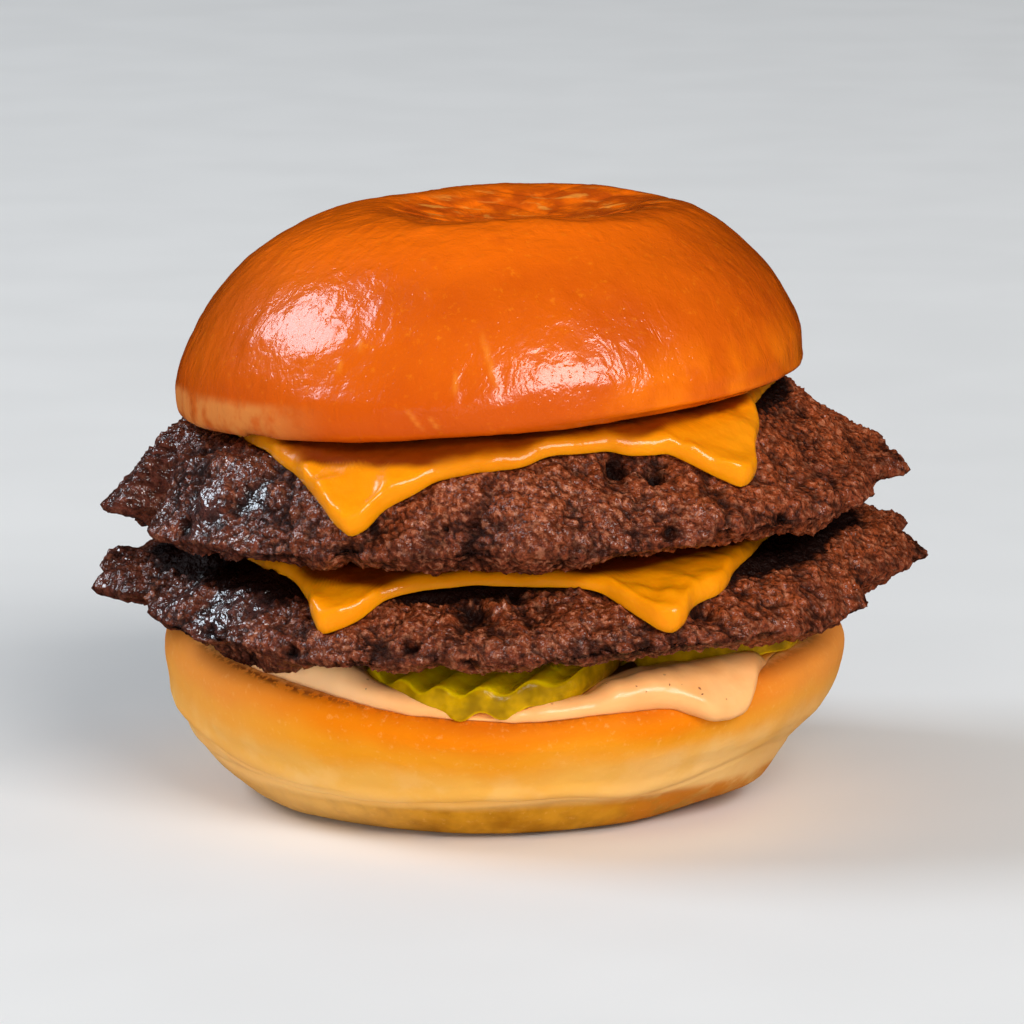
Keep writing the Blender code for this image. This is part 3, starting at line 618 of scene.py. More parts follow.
def melted(name, lines_fn, reach, seed, cover, beads):
    around = 540
    b = np.linspace(-180, 180, around, endpoint=False)
    line = Lines(b, lines_fn(b))
    ang = np.stack([np.cos(rad(b)), np.sin(rad(b)), np.zeros(around)], axis=1) * 52.0
    end = reach(b) + 0.30 * noise(ang, 7.0, seed) + 0.14 * noise(ang, 2.6, seed + 1)
    end = np.minimum(end, line.length - 0.5)
    n = 38
    # rings crowd towards the melted edge, where the surface rolls over
    k = np.linspace(0.0, 1.0, n)
    back = 13.0 * (1.0 - k) ** 2.2
    dist = np.concatenate([np.array([32.0, 26.0, 20.0, 16.0]), back + 0.0])[:, None] + 0 * end[None, :]
    s = end[None, :] - dist
    p0 = place(*line.at(s), b).reshape(-1, 3)
    drip = np.clip((end - 50.0) / 9.0, 0, 1)[None, :]
    bead = np.exp(-(((dist - 1.9) / 1.5) ** 2))
    t = 1.75 + (0.10 + 0.35 * drip) * bead + 0.9 * drip * np.exp(-((dist / 7.0) ** 2))
    t = t + (0.40 * noise(p0, 5.0, seed + 5) + 0.17 * noise(p0, 2.3, seed + 6)).reshape(s.shape)
    for at, length, size, tall in beads:
        away = np.hypot(turn(b, at)[None, :] * math.pi / 180 * 53.0, s - length)
        t = t + tall * np.exp(-((away / size) ** 2))
    roll = 1.9
    t = t * np.sqrt(np.clip(1.0 - (1.0 - np.clip(dist / roll, 0, 1)) ** 2, 0.0, 1.0))
    drape = (0.35 * noise(p0, 9.0, seed + 8)).reshape(s.shape) + 0.1
    outer = line.off(s, drape + t, 1.2)
    inner = line.off(s[:-1], drape[:-1], 1.2)
    r = np.concatenate([outer[0], inner[0][::-1]])
    z = np.concatenate([outer[1], inner[1][::-1]])
    near = np.exp(-((dist / 5.0) ** 2))
    p = place(r, z, b)
    # how far a spot lies back under what covers the slice: there the cheese is painted in shade
    axis_x, cover_r = cover
    back_in = cover_r(b)[None, :] - np.hypot(p[..., 0] - axis_x, p[..., 1])
    here = np.broadcast_to(b[None, :], back_in.shape)
    shift = 1.7 * (1.0 - step(-90.0, -72.0, here) * (1.0 - step(0.0, 40.0, here)))
    shift = shift - 1.9 * step(-68.0, -52.0, here) * (1.0 - step(-20.0, 0.0, here))
    rim = np.exp(-((dist / 1.7) ** 2))
    under = step(-1.3 - shift, 0.3 - shift, back_in) * (1.0 - 0.85 * np.concatenate([rim, rim[:-1][::-1]]))
    return ring_mesh(name, p, {"edge": np.concatenate([near, near[:-1][::-1]]), "under": under})


# ================================================================ heel
def heel_rim(b):
    return HEEL_RIM_Z + HEEL_RIM_RISE * np.abs(np.cos(rad(b))) ** 1.6


def heel_parts(b):
    z, r = heel_rim(b), HEEL_R + 0.35 * heel_uneven(b)
    rise = z - HEEL_CUT_Z
    fold = HEEL_FOLD_Z + 0.5 * heel_uneven(b + 40)
    top = [(33.0, HEEL_CUT_Z + 0.20 * rise), (41.5, HEEL_CUT_Z + 0.52 * rise), (46.8, z - 0.9), (49.6, z - 0.1)]
    right, left = np.maximum(0.0, np.cos(rad(b))) ** 2, np.maximum(0.0, -np.cos(rad(b))) ** 2
    side = [
        (r - 1.0, z - 1.6),
        (r - 0.2 - 0.2 * right, z - 4.0),
        (r - 1.2 - 1.8 * right - 0.6 * left, 15.0),
        (r - 3.9 - 2.5 * right - 1.1 * left, 11.0),
        (r - 7.4 - 0.8 * right - 0.8 * left, 7.2),
    ]
    under = [
        (r - 9.7 - 0.6 * right - 0.7 * left, fold),
        (r - 10.6 - 1.2 * right - 0.8 * left, fold - 0.9),
        (r - 14.4 - 3.2 * right - 0.9 * left, 1.2),
        (HEEL_FOOT_R - 3.0 * right - 0.5 * left + 0 * b, 0.0 * b),
    ]
    return top, side, under


def heel_top_line(b):
    top, side, _ = heel_parts(b)
    return [(0.0, HEEL_CUT_Z), *top, *side[:3]]


HEEL_CREASES = [
    (
        through([(-178, 8.6), (-160, 8.4), (-145, 7.6), (-134, 6.9), (-125, 6.4), (-110, 6.3), (-98, 6.7), (-87, 7.2), (-76, 7.3),
                 (-63, 6.6), (-57, 7.1), (-51, 7.9), (-44, 9.6), (-34, 11.0), (-22, 10.4), (0, 8.4), (30, 7.2),
                 (60, 8.0), (90, 6.6), (130, 7.4), (160, 6.8)]),
        through([(-178, 0.35), (-150, 0.30), (-134, 0.55), (-122, 1.0), (-112, 0.8), (-100, 0.55), (-90, 0.8), (-70, 0.9),
                 (-60, 0.58), (-50, 0.32), (-40, 0.16), (-20, 0.12), (20, 0.35), (60, 0.8), (100, 0.5), (140, 0.7)]),
    ),
    (
        through([(-178, 14.5), (-165, 13.6), (-155, 11.8), (-146, 9.8), (-140, 9.0), (-134, 8.6), (-124, 8.0), (-100, 8.0), (-60, 9.0),
                 (-30, 14.0), (0, 13.0), (40, 11.0), (90, 12.0), (140, 12.0)]),
        through([(-178, 0.20), (-160, 0.5), (-146, 0.8), (-134, 0.85), (-124, 0.4), (-112, 0.0), (-60, 0.0), (-42, 0.04),
                 (-30, 0.06), (-10, 0.05), (30, 0.4), (60, 0.0), (110, 0.0), (135, 0.5), (150, 0.1)]),
    ),
]


def make_heel():
    around, rings = ((340, 130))
    b = np.linspace(-180, 180, around, endpoint=False)
    top, side, under = heel_parts(b)
    line = Lines(b, [*top, *side, *under])
    k = np.linspace(0, 1, rings)[:, None]
    s = k * line.length[None, :]
    r, z = line.at(s)
    p = place(r, z, b)
    n = surface_normals(p)
    flat, nf = p.reshape(-1, 3), n.reshape(-1, 3)
    bb = np.broadcast_to(b[None, :], r.shape).reshape(-1)
    zz = flat[:, 2]
    rim = heel_rim(bb)
    below = rim - zz
    outside = step(48.5, 51.0, np.hypot(flat[:, 0], flat[:, 1])) + step(1.0, 4.0, below)
    outside = np.clip(outside, 0, 1)
    d = 0.30 * fractal(flat, 16.0, 2, 301) * outside
    # creases where the dough folded under: the long one all round, and a second one on the left
    swing = 0.35 * noise(flat, 9.0, 311) + 0.15 * noise(flat, 3.5, 312)
    for line_fn, depth_fn in HEEL_CREASES:
        away = zz - line_fn(bb) - swing
        depth = depth_fn(bb)
        d -= 0.9 * depth * np.exp(-((away / 0.45) ** 2))
        d += 0.75 * depth * np.exp(-(((away - 1.5) / 1.3) ** 2))
        d -= 0.35 * depth * np.exp(-(((away + 1.6) / 1.2) ** 2))
    d += 0.05 * noise(flat, 2.2, 331) * outside + 0.03 * noise(flat, 1.0, 332) * outside
    # crumb of the cut face
    crumb = (1 - outside) * step(0.0, 3.0, 49.0 - np.hypot(flat[:, 0], flat[:, 1]))
    d += crumb * 0.35 * fractal(flat, 2.4, 3, 340)
    keep = step(0.0, 1.4, zz)
    moved = flat + nf * (d * keep)[:, None]
    lean = HEEL_LEAN * (1.0 - step(4.0, 20.0, zz))
    moved[:, 0] -= lean
    moved[:, 2] = np.maximum(moved[:, 2], 0.0)
    edge_run = np.broadcast_to(s, r.shape) + 33.03
    values = {
        "toast": np.exp(-(((edge_run - 51.2) / 0.55) ** 2)) * (0.25 + 0.75 * lobe(b, -132, 18))[None, :],
        "height": (zz / 28.0).reshape(r.shape),
        "below": np.clip(below / 24.0, 0, 1).reshape(r.shape),
        "cut": (1 - outside).reshape(r.shape),
    }
    return ring_mesh("heel_bread", moved.reshape(p.shape), values)


# ================================================================ crown
def crown_rim(b):
    return 61.9 + 3.7 * np.cos(rad(b)) - 0.5 * np.sin(rad(b))


def crown_lines(b):
    c = np.cos(rad(b))
    left = np.maximum(0.0, -c)
    right = np.maximum(0.0, c)
    r = CROWN_R + 0.3 * crown_uneven(b) - 0.5 * left - 0.3 * right
    z, t = crown_rim(b), CROWN_TOP_Z

    def up(q, h):
        shape = q / CROWN_R
        return (q * (1 - 0.004 * left + 0.007 * right * shape) + 0 * b, h + CROWN_LEAN * q * c - 0.6 * left * shape)

    q = r - 0.9 - 1.0 * np.maximum(0.0, c)
    x, y = CROWN_X + q * c, q * np.sin(rad(b))
    over, bearing = np.hypot(x, y), np.degrees(np.arctan2(y, x))
    # the crown rests on the upper slice where that reaches under its edge
    fine = np.arange(-180.0, 180.0, 1.0)
    table = Lines(fine, upper_top(fine))
    end_r = table.off(UPPER_SLICE(fine)[None, :], GAP + SLICE_T)[0][0]
    roof = np.interp(bearing, fine, [np.interp(v, table.p[:, j, 0], table.p[:, j, 1]) for j, v in
                                     enumerate(np.interp(fine, np.sort(bearing), over[np.argsort(bearing)]))])
    held = over < np.interp(bearing, fine, end_r) + 2.0
    z = np.where(held, np.maximum(z, roof + 1.3 * GAP + SLICE_T + 0.3), z)
    rise = t - 20.0 + CROWN_LEAN * 46.9 * c - z
    out = [
        (2.0 + 0 * b, t - 0.2 + 0 * b),
        up(12.0, t - 0.2),
        up(20.0, t - 0.1),
        up(26.5, t - 0.9),
        up(33.0, t - 3.5),
        up(39.0, t - 8.0),
        up(43.8, t - 13.8),
        up(46.9, t - 20.0),
        (r - 0.30 + 0.30 * right, z + 0.64 * rise),
        (r + 0.1 * right, z + 0.40 * rise),
        (r - 0.1 + 0.3 * right, z + 0.19 * rise),
        (q + 0.35, z + 0.5),
        (q - 0.4, z),
        (q - 2.6, z + 0.4),
    ]
    return out, z


def crown_under_height(q, b):
    """Under the crown: over the slice, and a little lower where it ends."""
    x, y = CROWN_X + q * np.cos(rad(b)), q * np.sin(rad(b))
    r, bearing = np.hypot(x, y), np.degrees(np.arctan2(y, x))
    base = upper_face(np.minimum(r, 44.0), bearing)
    return base + 1.5 * GAP + SLICE_T + GAP - 0.6


# Raised wrinkles: bearing, height, half length, width, how tall, lean in degrees for each mm
CROWN_STREAKS = [
    (-118.6, 71.4, 1.0, 0.32, 0.16, 0.2), (-115.0, 74.5, 0.9, 0.30, 0.14, -0.2), (-96.0, 70.1, 1.6, 0.34, 0.18, 0.15),
    (-90.0, 73.2, 3.6, 0.40, 0.14, -0.35), (-103.0, 64.9, 1.5, 0.34, 0.16, -0.9), (-99.5, 64.4, 1.0, 0.30, 0.14, -0.8),
    (30.0, 72.0, 2.0, 0.40, 0.16, -0.2), (75.0, 70.0, 1.6, 0.35, 0.16, 0.3), (110.0, 74.0, 2.0, 0.40, 0.16, -0.3),
    (150.0, 71.0, 1.6, 0.35, 0.16, 0.4),
]


def make_crown():
    around, rings = ((450, 176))
    b = np.linspace(-180, 180, around, endpoint=False)
    stations, z_edge = crown_lines(b)
    line = Lines(b, stations)
    k = np.linspace(0, 1, rings)[:, None]
    s = k * line.length[None, :]
    r, z = line.at(s)
    # the cut face runs back in from the edge
    q_in = np.array([43.0, 38.0, 30.0, 16.0])[:, None] + 0 * b[None, :]
    z_in = np.stack([crown_under_height(q, b) for q in q_in])
    z_in[0] = np.minimum(z_in[0], z_edge + 1.6)
    r_all, z_all = np.concatenate([r, q_in]), np.concatenate([z, z_in])
    p = place(r_all, z_all, b)
    n = surface_normals(p)
    flat, nf = p.reshape(-1, 3), n.reshape(-1, 3)
    bb = np.broadcast_to(b[None, :], r_all.shape).reshape(-1)
    zz = flat[:, 2]
    skin = np.concatenate([np.ones(r.shape), np.zeros(q_in.shape)]).reshape(-1)
    x, y = flat[:, 0] + CROWN_X, flat[:, 1]

    # dent in the top, sharper along its front lip
    dist = np.hypot((x - DENT_X) / 1.12, y)
    at_dent = np.degrees(np.arctan2(y, x - DENT_X))
    ring = DENT_R * (1 + 0.05 * crown_uneven(at_dent + 20) + 0.05 * noise(flat, 9.0, 401))
    is_top = step(78.0, 84.0, zz)
    dent = -DENT_DEPTH * (1 - step(0.35 * ring, ring, dist)) + 0.5 * np.exp(-(((dist - 1.12 * ring) / 4.0) ** 2))
    z_new = zz + dent * is_top

    d = 0.28 * fractal(flat, 17.0, 2, 411)
    # a few raised wrinkles in the glaze, whose mask also paints a pale highlight on them
    streak = np.zeros(len(flat))
    for at, height, length, width, tall, lean in CROWN_STREAKS:
        across = turn(bb, at + lean * (zz - height)) * math.pi / 180 * 47.0
        along = (zz - height) / length
        v = np.exp(-((across / width) ** 2)) * np.exp(-(along**4))
        d += tall * v
        streak = np.maximum(streak, v)
    # fine wrinkles that run down from the shoulder, and blisters in the glaze
    wr = warped(flat, 9.0, 2.0, 421)
    stretched = np.stack([bb * 0.9, wr[:, 2] * 0.35, 0 * bb], axis=1)
    d += 0.05 * noise(stretched, 2.2, 424) * step(62.0, 70.0, zz)
    one, two, own = cells(warped(flat, 3.0, 0.6, 431), 3.1, 432)
    blister = np.clip(1 - (one / 0.5) ** 2, 0, 1) * (own > 0.55)
    d += 0.085 * blister
    one2, _, own2 = cells(flat, 1.5, 433)
    d += 0.035 * np.clip(1 - (one2 / 0.45) ** 2, 0, 1) * (own2 > 0.5)
    d += 0.10 * noise(flat, 5.0, 441)
    # creases in the dent
    # lip: a ring along the dent's front lip, where the colour gets a dark line of painted shade
    lip = np.exp(-(((dist - 1.04 * ring) / 1.3) ** 2)) * is_top * (0.35 + 0.65 * lobe(at_dent, -100, 60))
    d -= 0.22 * np.exp(-(((dist - 1.04 * ring) / 0.9) ** 2)) * is_top * lobe(at_dent, -105, 45)
    crease = np.abs(noise(warped(flat * np.array([0.5, 1.0, 1.0]), 6.0, 2.5, 451), 6.0, 452))
    in_dent = (1 - step(0.8 * ring, 1.05 * ring, dist)) * is_top
    d -= 0.32 * np.exp(-((crease / 0.09) ** 2)) * in_dent
    d *= skin
    moved = flat.copy()
    moved[:, 2] = z_new
    moved += nf * d[:, None]
    moved[:, 0] += CROWN_X
    rim = crown_rim(bb)
    values = {
        "above": np.clip((zz - rim) / 28.0, 0, 1).reshape(r_all.shape),
        "dent": in_dent.reshape(r_all.shape),
        "lip": lip.reshape(r_all.shape),
        "streak": streak.reshape(r_all.shape),
        "skin": skin.reshape(r_all.shape),
    }
    return ring_mesh("crown_bread", moved.reshape(p.shape), values)


# ================================================================ sauce
SAUCE_EDGE = through([
    (-172, 45.6), (-162, 47.0), (-154, 48.8), (-146, 49.8), (-138, 50.3), (-130, 50.4), (-124, 50.2), (-117, 50.7),
    (-110, 51.2), (-103, 51.2), (-95, 51.0), (-87.5, 51.2), (-80, 51.4), (-74, 51.3), (-67, 51.8), (-62.5, 52.4),
    (-58.5, 54.2), (-54, 55.9), (-50, 56.3), (-47, 54.6), (-44, 52.6), (-39.5, 50.8), (-30.5, 48.6), (-15, 46.6),
    (0, 46.2), (20, 47.0), (40, 48.6), (52, 51.8), (58, 53.2), (64, 51.6), (80, 50.4), (95, 51.6), (103, 52.6),
    (112, 51.0), (124, 51.0), (133, 53.0), (141, 50.6), (155, 48.0), (170, 46.2),
])
SAUCE_SWELL = through([
    (-172, 0.6), (-160, 2.0), (-150, 3.4), (-140, 4.2), (-128, 4.4), (-120, 3.8), (-113, 1.8), (-104, 0.5), (-90, 0.3), (-76, 0.9),
    (-70, 2.3), (-63, 2.9), (-56, 2.7), (-49, 2.1), (-42, 1.4), (-33, 0.8), (0, 0.6), (35, 1.0), (55, 2.6), (68, 1.6),
    (85, 1.0), (101, 2.2), (115, 1.4), (130, 2.6), (142, 1.6), (160, 0.6),
])


def make_sauce():
    around = 520
    b = np.linspace(-180, 180, around, endpoint=False)
    line = Lines(b, heel_top_line(b))
    ang = np.stack([np.cos(rad(b)), np.sin(rad(b)), np.zeros(around)], axis=1) * 52.0
    end = SAUCE_EDGE(b) + 0.30 * noise(ang, 6.0, 501) + 0.16 * noise(ang, 2.6, 502)
    end = np.minimum(end, line.length - 0.4)
    n = 42
    k = np.linspace(0.0, 1.0, n)
    back = 16.0 * (1.0 - k) ** 1.9
    dist = np.concatenate([np.array([36.0, 30.0, 24.0, 20.0]), back])[:, None] + 0 * end[None, :]
    s = end[None, :] - dist
    r, z = line.at(s)
    bb = b[None, :] + 0 * r
    p0 = place(r, z, b).reshape(-1, 3)
    lumpy = (0.42 * noise(p0, 5.5, 511) + 0.18 * noise(p0, 2.6, 512)).reshape(s.shape)
    t = SAUCE_T + SAUCE_SWELL(b)[None, :] * step(35.0, 44.5, s) * (1.0 - 0.45 * step(48.5, 52.0, s)) + lumpy * step(38.0, 44.0, s)
    x, y = r * np.cos(rad(bb)), r * np.sin(rad(bb))
    for _, middle, radius, plane, _ in CHIPS:
        away = np.hypot(x - middle[0], y - middle[1]) - radius
        roof = chip_height(middle, plane, x, y) - 0.5 * PICKLE_T - PICKLE_AMP
        limit = np.maximum(0.5, roof - z - 0.1) + 5.0 * step(-0.3, 1.6, away)
        t = np.minimum(t, limit)
    t = np.maximum(t, 0.5)
    t = t * np.sqrt(np.clip(1.0 - (1.0 - np.clip(dist / 1.8, 0, 1)) ** 2, 0.0, 1.0))
    outer = line.off(s, 0.15 + t, 1.0)
    inner = line.off(s[:-1], 0.15 + 0 * s[:-1], 1.0)
    rr = np.concatenate([outer[0], inner[0][::-1]])
    zz = np.concatenate([outer[1], inner[1][::-1]])
    skin = place(outer[0], outer[1], b)
    return ring_mesh("sauce_spread", place(rr, zz, b), {}), skin


def make_flecks(skin):
    """Specks of ground spice that lie half sunk in the sauce, as one mesh."""
    dice = random.Random(77)
    n = surface_normals(skin)
    rows, cols = skin.shape[:2]
    verts, faces = [], []
    shape = [(1, 0, 0), (0, 1, 0), (-1, 0, 0), (0, -1, 0), (0, 0, 1), (0, 0, -1)]
    sides = [(0, 1, 4), (1, 2, 4), (2, 3, 4), (3, 0, 4), (1, 0, 5), (2, 1, 5), (3, 2, 5), (0, 3, 5)]
    for _ in range(170):
        i, j = dice.randrange(rows // 3, rows - 6), dice.randrange(cols)
        bearing = -180 + 360 * j / cols
        if lobe(np.array(bearing), -54, 26) < dice.random() * 0.9 and dice.random() < 0.6:
            continue
        size = dice.uniform(0.14, 0.34)
        base = Vector(skin[i, j])
        up = Vector(n[i, j])
        across = up.orthogonal().normalized()
        along = up.cross(across)
        spin = dice.uniform(0, math.pi)
        u = across * math.cos(spin) + along * math.sin(spin)
        v = up.cross(u)
        a, c, h = size * dice.uniform(0.8, 1.5), size * dice.uniform(0.4, 0.8), size * 0.45
        k = len(verts)
        for x, y, z in shape:
            w = base + u * (x * a * dice.uniform(0.8, 1.1)) + v * (y * c * dice.uniform(0.8, 1.1)) + up * (z * h)
            verts.append(((w.x + SHIFT[0]) * MM, (w.y + SHIFT[1]) * MM, w.z * MM))
        faces += [(k + p, k + q, k + s) for p, q, s in sides]
    mesh = bpy.data.meshes.new("sauce_flecks")
    mesh.from_pydata(verts, [], faces)
    obj = bpy.data.objects.new("sauce_flecks", mesh)
    bpy.context.scene.collection.objects.link(obj)
    return obj


# ================================================================ pickle slices
def chip_height(at, plane, x, y):
    """The middle of a slice's thickness: it sags a little towards the outside of the bun."""
    r0 = math.hypot(*at)
    out = ((x - at[0]) * at[0] + (y - at[1]) * at[1]) / r0
    return chip_plane(at, plane, x, y) - 0.045 * out - 0.35


def make_chip(name, at, radius, plane, ridge_bearing, seed):
    around = 170
    face, rim = ((24, 8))
    b = np.linspace(-180, 180, around, endpoint=False)
    ang = np.stack([np.cos(rad(b)), np.sin(rad(b)), 0 * b], axis=1) * radius
    edge = radius * (1 + 0.012 * noise(ang, 11.0, seed)) + (1.3 if at[1] < -30.0 else 0.5)
    half = 0.5 * PICKLE_T + 0.35
    u, h = [], []  # share of the radius, side height in -1..1
    for k in np.linspace(0.12, 0.965, face):
        u.append(k)
        h.append(1.0)
    for a in np.linspace(68, -68, rim):
        u.append(0.965 + 0.035 * math.cos(math.radians(a)))
        h.append(math.sin(math.radians(a)) / math.sin(math.radians(78)))
    for k in np.linspace(0.965, 0.12, face):
        u.append(k)
        h.append(-1.0)
    u, h = np.array(u)[:, None], np.array(h)[:, None]
    x = at[0] + u * edge[None, :] * np.cos(rad(b))[None, :]
    y = at[1] + u * edge[None, :] * np.sin(rad(b))[None, :]
    t = math.radians(ridge_bearing)
    across = -(x - at[0]) * math.sin(t) + (y - at[1]) * math.cos(t)
    wave = np.cos(2 * math.pi * across / PICKLE_WAVE + 0.6)
    wave = (PICKLE_AMP + 0.15) * (0.75 * wave + 0.25 * np.sign(wave) * np.abs(wave) ** 0.5)
    z = chip_height(at, plane, x, y) + wave + h * half
    flat = np.stack([x, y, z], axis=-1).reshape(-1, 3)
    more = (0.10 * noise(flat, 3.0, seed + 3) + 0.05 * noise(flat, 1.2, seed + 4)).reshape(x.shape)
    z = z + more * (np.abs(h) > 0.99)
    crest = 0.5 + 0.5 * wave / (PICKLE_AMP + 0.15)
    values = {"out": u + 0 * x, "skin": step(0.968, 0.990, u + 0 * x), "crest": crest}
    return ring_mesh(name, np.stack([x, y, z], axis=-1), values)


# ================================================================ materials
class Graph:
    """Small helper that adds nodes to one material and joins them."""

    def __init__(self, name):
        self.mat = bpy.data.materials.new(name)
        self.mat.use_nodes = True
        self.tree = self.mat.node_tree
        self.shader = self.tree.nodes["Principled BSDF"]
        self.place = self.add("ShaderNodeTexCoord").outputs["Object"]

    def add(self, kind, **settings):
        node = self.tree.nodes.new(kind)
        for key, value in settings.items():
            setattr(node, key, value)
        return node

    def put(self, socket, value):
        if hasattr(value, "is_output"):
            self.tree.links.new(value, socket)
        else:
            socket.default_value = value

    def noise(self, size_mm, detail=2.0, rough=0.5, distort=0.0, where=None, stretch=None):
        node = self.add("ShaderNodeTexNoise")
        vector = where or self.place
        if stretch:
            m = self.add("ShaderNodeMapping")
            self.put(m.inputs["Vector"], vector)
            m.inputs["Scale"].default_value = stretch
            vector = m.outputs["Vector"]
        self.put(node.inputs["Vector"], vector)
        node.inputs["Scale"].default_value = 1000.0 / size_mm
        node.inputs["Detail"].default_value = detail
        node.inputs["Roughness"].default_value = rough
        node.inputs["Distortion"].default_value = distort
        return node.outputs["Fac"]

    def cells(self, size_mm, feature="F1", randomness=1.0, out="Distance"):
        node = self.add("ShaderNodeTexVoronoi", feature=feature)
        self.put(node.inputs["Vector"], self.place)
        node.inputs["Scale"].default_value = 1000.0 / size_mm
        node.inputs["Randomness"].default_value = randomness
        return node.outputs[out]

    def attr(self, name):
        node = self.add("ShaderNodeAttribute", attribute_name=name)
        return node.outputs["Fac"]

    def ramp(self, value, stops, smooth=True):
        node = self.add("ShaderNodeValToRGB")
        self.put(node.inputs["Fac"], value)
        ramp = node.color_ramp
        ramp.interpolation = "EASE" if smooth else "LINEAR"
        while len(ramp.elements) < len(stops):
            ramp.elements.new(0.5)
        for element, (at, colour) in zip(ramp.elements, stops):
            element.position = at
            if isinstance(colour, (int, float)):
                colour = (colour, colour, colour)
            element.color = (*colour, 1.0)
        return node.outputs["Color"]

    def mix(self, amount, a, b, mode="MIX"):
        node = self.add("ShaderNodeMix", data_type="RGBA", blend_type=mode)
        self.put(node.inputs[0], amount)
        for socket, value in ((node.inputs[6], a), (node.inputs[7], b)):
            if isinstance(value, tuple):
                value = (*value, 1.0) if len(value) == 3 else value
            self.put(socket, value)
        return node.outputs[2]

    def math(self, op, a, b=0.0, c=0.0, clamp=False):
        node = self.add("ShaderNodeMath", operation=op, use_clamp=clamp)
        self.put(node.inputs[0], a)
        self.put(node.inputs[1], b)
        self.put(node.inputs[2], c)
        return node.outputs[0]

    def between(self, value, low, high, to_low=0.0, to_high=1.0):
        node = self.add("ShaderNodeMapRange", interpolation_type="SMOOTHSTEP")
        self.put(node.inputs["Value"], value)
        node.inputs["From Min"].default_value = low
        node.inputs["From Max"].default_value = high
        node.inputs["To Min"].default_value = to_low
        node.inputs["To Max"].default_value = to_high
        return node.outputs["Result"]

    def xyz(self):
        node = self.add("ShaderNodeSeparateXYZ")
        self.put(node.inputs["Vector"], self.place)
        return node.outputs

    def bump(self, height, distance_mm, strength=1.0, below=None):
        node = self.add("ShaderNodeBump")
        node.inputs["Strength"].default_value = strength
        node.inputs["Distance"].default_value = distance_mm * MM
        self.put(node.inputs["Height"], height)
        if below is not None:
            self.put(node.inputs["Normal"], below)
        return node.outputs["Normal"]

    def set(self, **sockets):
        for name, value in sockets.items():
            socket = self.shader.inputs[name.replace("_", " ")]
            if isinstance(value, tuple) and len(value) == 3 and socket.type == "RGBA":
                value = (*value, 1.0)
            self.put(socket, value)


def look_patty():
    g = Graph("browned_meat")
    open_, crumb, rim = g.attr("open"), g.attr("crumb"), g.attr("rim")
    tone = g.noise(9.0, 3.0, 0.55)
    small = g.noise(1.6, 3.0, 0.6)
    tiny = g.noise(0.85, 3.0, 0.6)
    wet = g.attr("wet")
    xyz = g.xyz()
    meat = g.ramp(
        g.math("ADD", g.math("MULTIPLY", tone, 0.6), g.math("MULTIPLY", crumb, 0.4)),
        [(0.15, (0.110, 0.0175, 0.0045)), (0.42, (0.190, 0.034, 0.0085)), (0.66, (0.265, 0.054, 0.0140)), (0.92, (0.35, 0.088, 0.029))],
    )
    # lighter and redder towards the right: partly redder meat, partly painted light
    meat = g.mix(g.between(xyz["X"], 0.014, 0.040, 0.0, 0.42), meat, (0.44, 0.082, 0.018))
    meat = g.mix(g.between(small, 0.42, 0.70, 0.0, 0.45), meat, (0.27, 0.044, 0.0065))
    # pale pinkish specks: painted highlights that stand in for wet sheen on the crumbs
    meat = g.mix(g.between(tiny, 0.52, 0.63, 0.0, 0.66), meat, (0.54, 0.190, 0.092))
    meat = g.mix(g.between(tiny, 0.48, 0.35, 0.0, 0.75), meat, (0.048, 0.0085, 0.0024))
    # seared patches: here and there, more on the left and on thin edges
    sear = g.math("MULTIPLY", g.between(g.noise(13.0, 3.0, 0.6), 0.50, 0.68), 0.55)
    left = g.between(xyz["X"], -0.016, -0.044)
    sear = g.math("ADD", sear, g.math("MULTIPLY", left, g.between(tone, 0.28, 0.60, 0.35, 0.9)), clamp=True)
    sear = g.math("MAXIMUM", sear, g.math("MULTIPLY", rim, 0.5), clamp=True)
    seared = g.mix(g.between(small, 0.38, 0.66), (0.020, 0.0040, 0.0028), (0.115, 0.026, 0.017))
    meat = g.mix(g.math("MULTIPLY", sear, 0.78), meat, seared)
    meat = g.mix(g.math("MULTIPLY", wet, 0.55), meat, (0.042, 0.019, 0.021))
    # painted shade: crevices, holes, valleys and the strip under the layer above turn near black
    meat = g.mix(g.between(open_, 0.08, 0.52), (0.009, 0.0017, 0.0007), meat)
    coarse = g.bump(g.math("MULTIPLY", g.noise(1.3, 2.0, 0.55), g.between(wet, 0.0, 1.0, 1.0, 0.55)), 0.85, 1.0)
    fine = g.bump(g.noise(0.55, 2.0, 0.6), 0.40, 1.0, below=coarse)
    sheen = g.math("MULTIPLY", g.between(g.noise(6.0, 3.0, 0.6), 0.40, 0.60, 0.35, 1.0), 0.30)
    sheen = g.math("MAXIMUM", sheen, g.math("MULTIPLY", left, g.between(g.noise(9.0, 2.0, 0.5), 0.38, 0.56, 0.45, 0.95)))
    sheen = g.math("MULTIPLY", sheen, g.between(open_, 0.15, 0.60))
    sheen = g.math("MAXIMUM", sheen, wet)
    g.set(
        Base_Color=meat,
        Roughness=g.between(g.noise(2.6, 3.0, 0.6), 0.3, 0.7, 0.46, 0.68),
        Normal=fine,
        Specular_IOR_Level=0.13,
        Coat_Weight=sheen,
        Coat_IOR=2.1,
        Coat_Roughness=0.20,
        Coat_Normal=coarse,
    )
    return g.mat


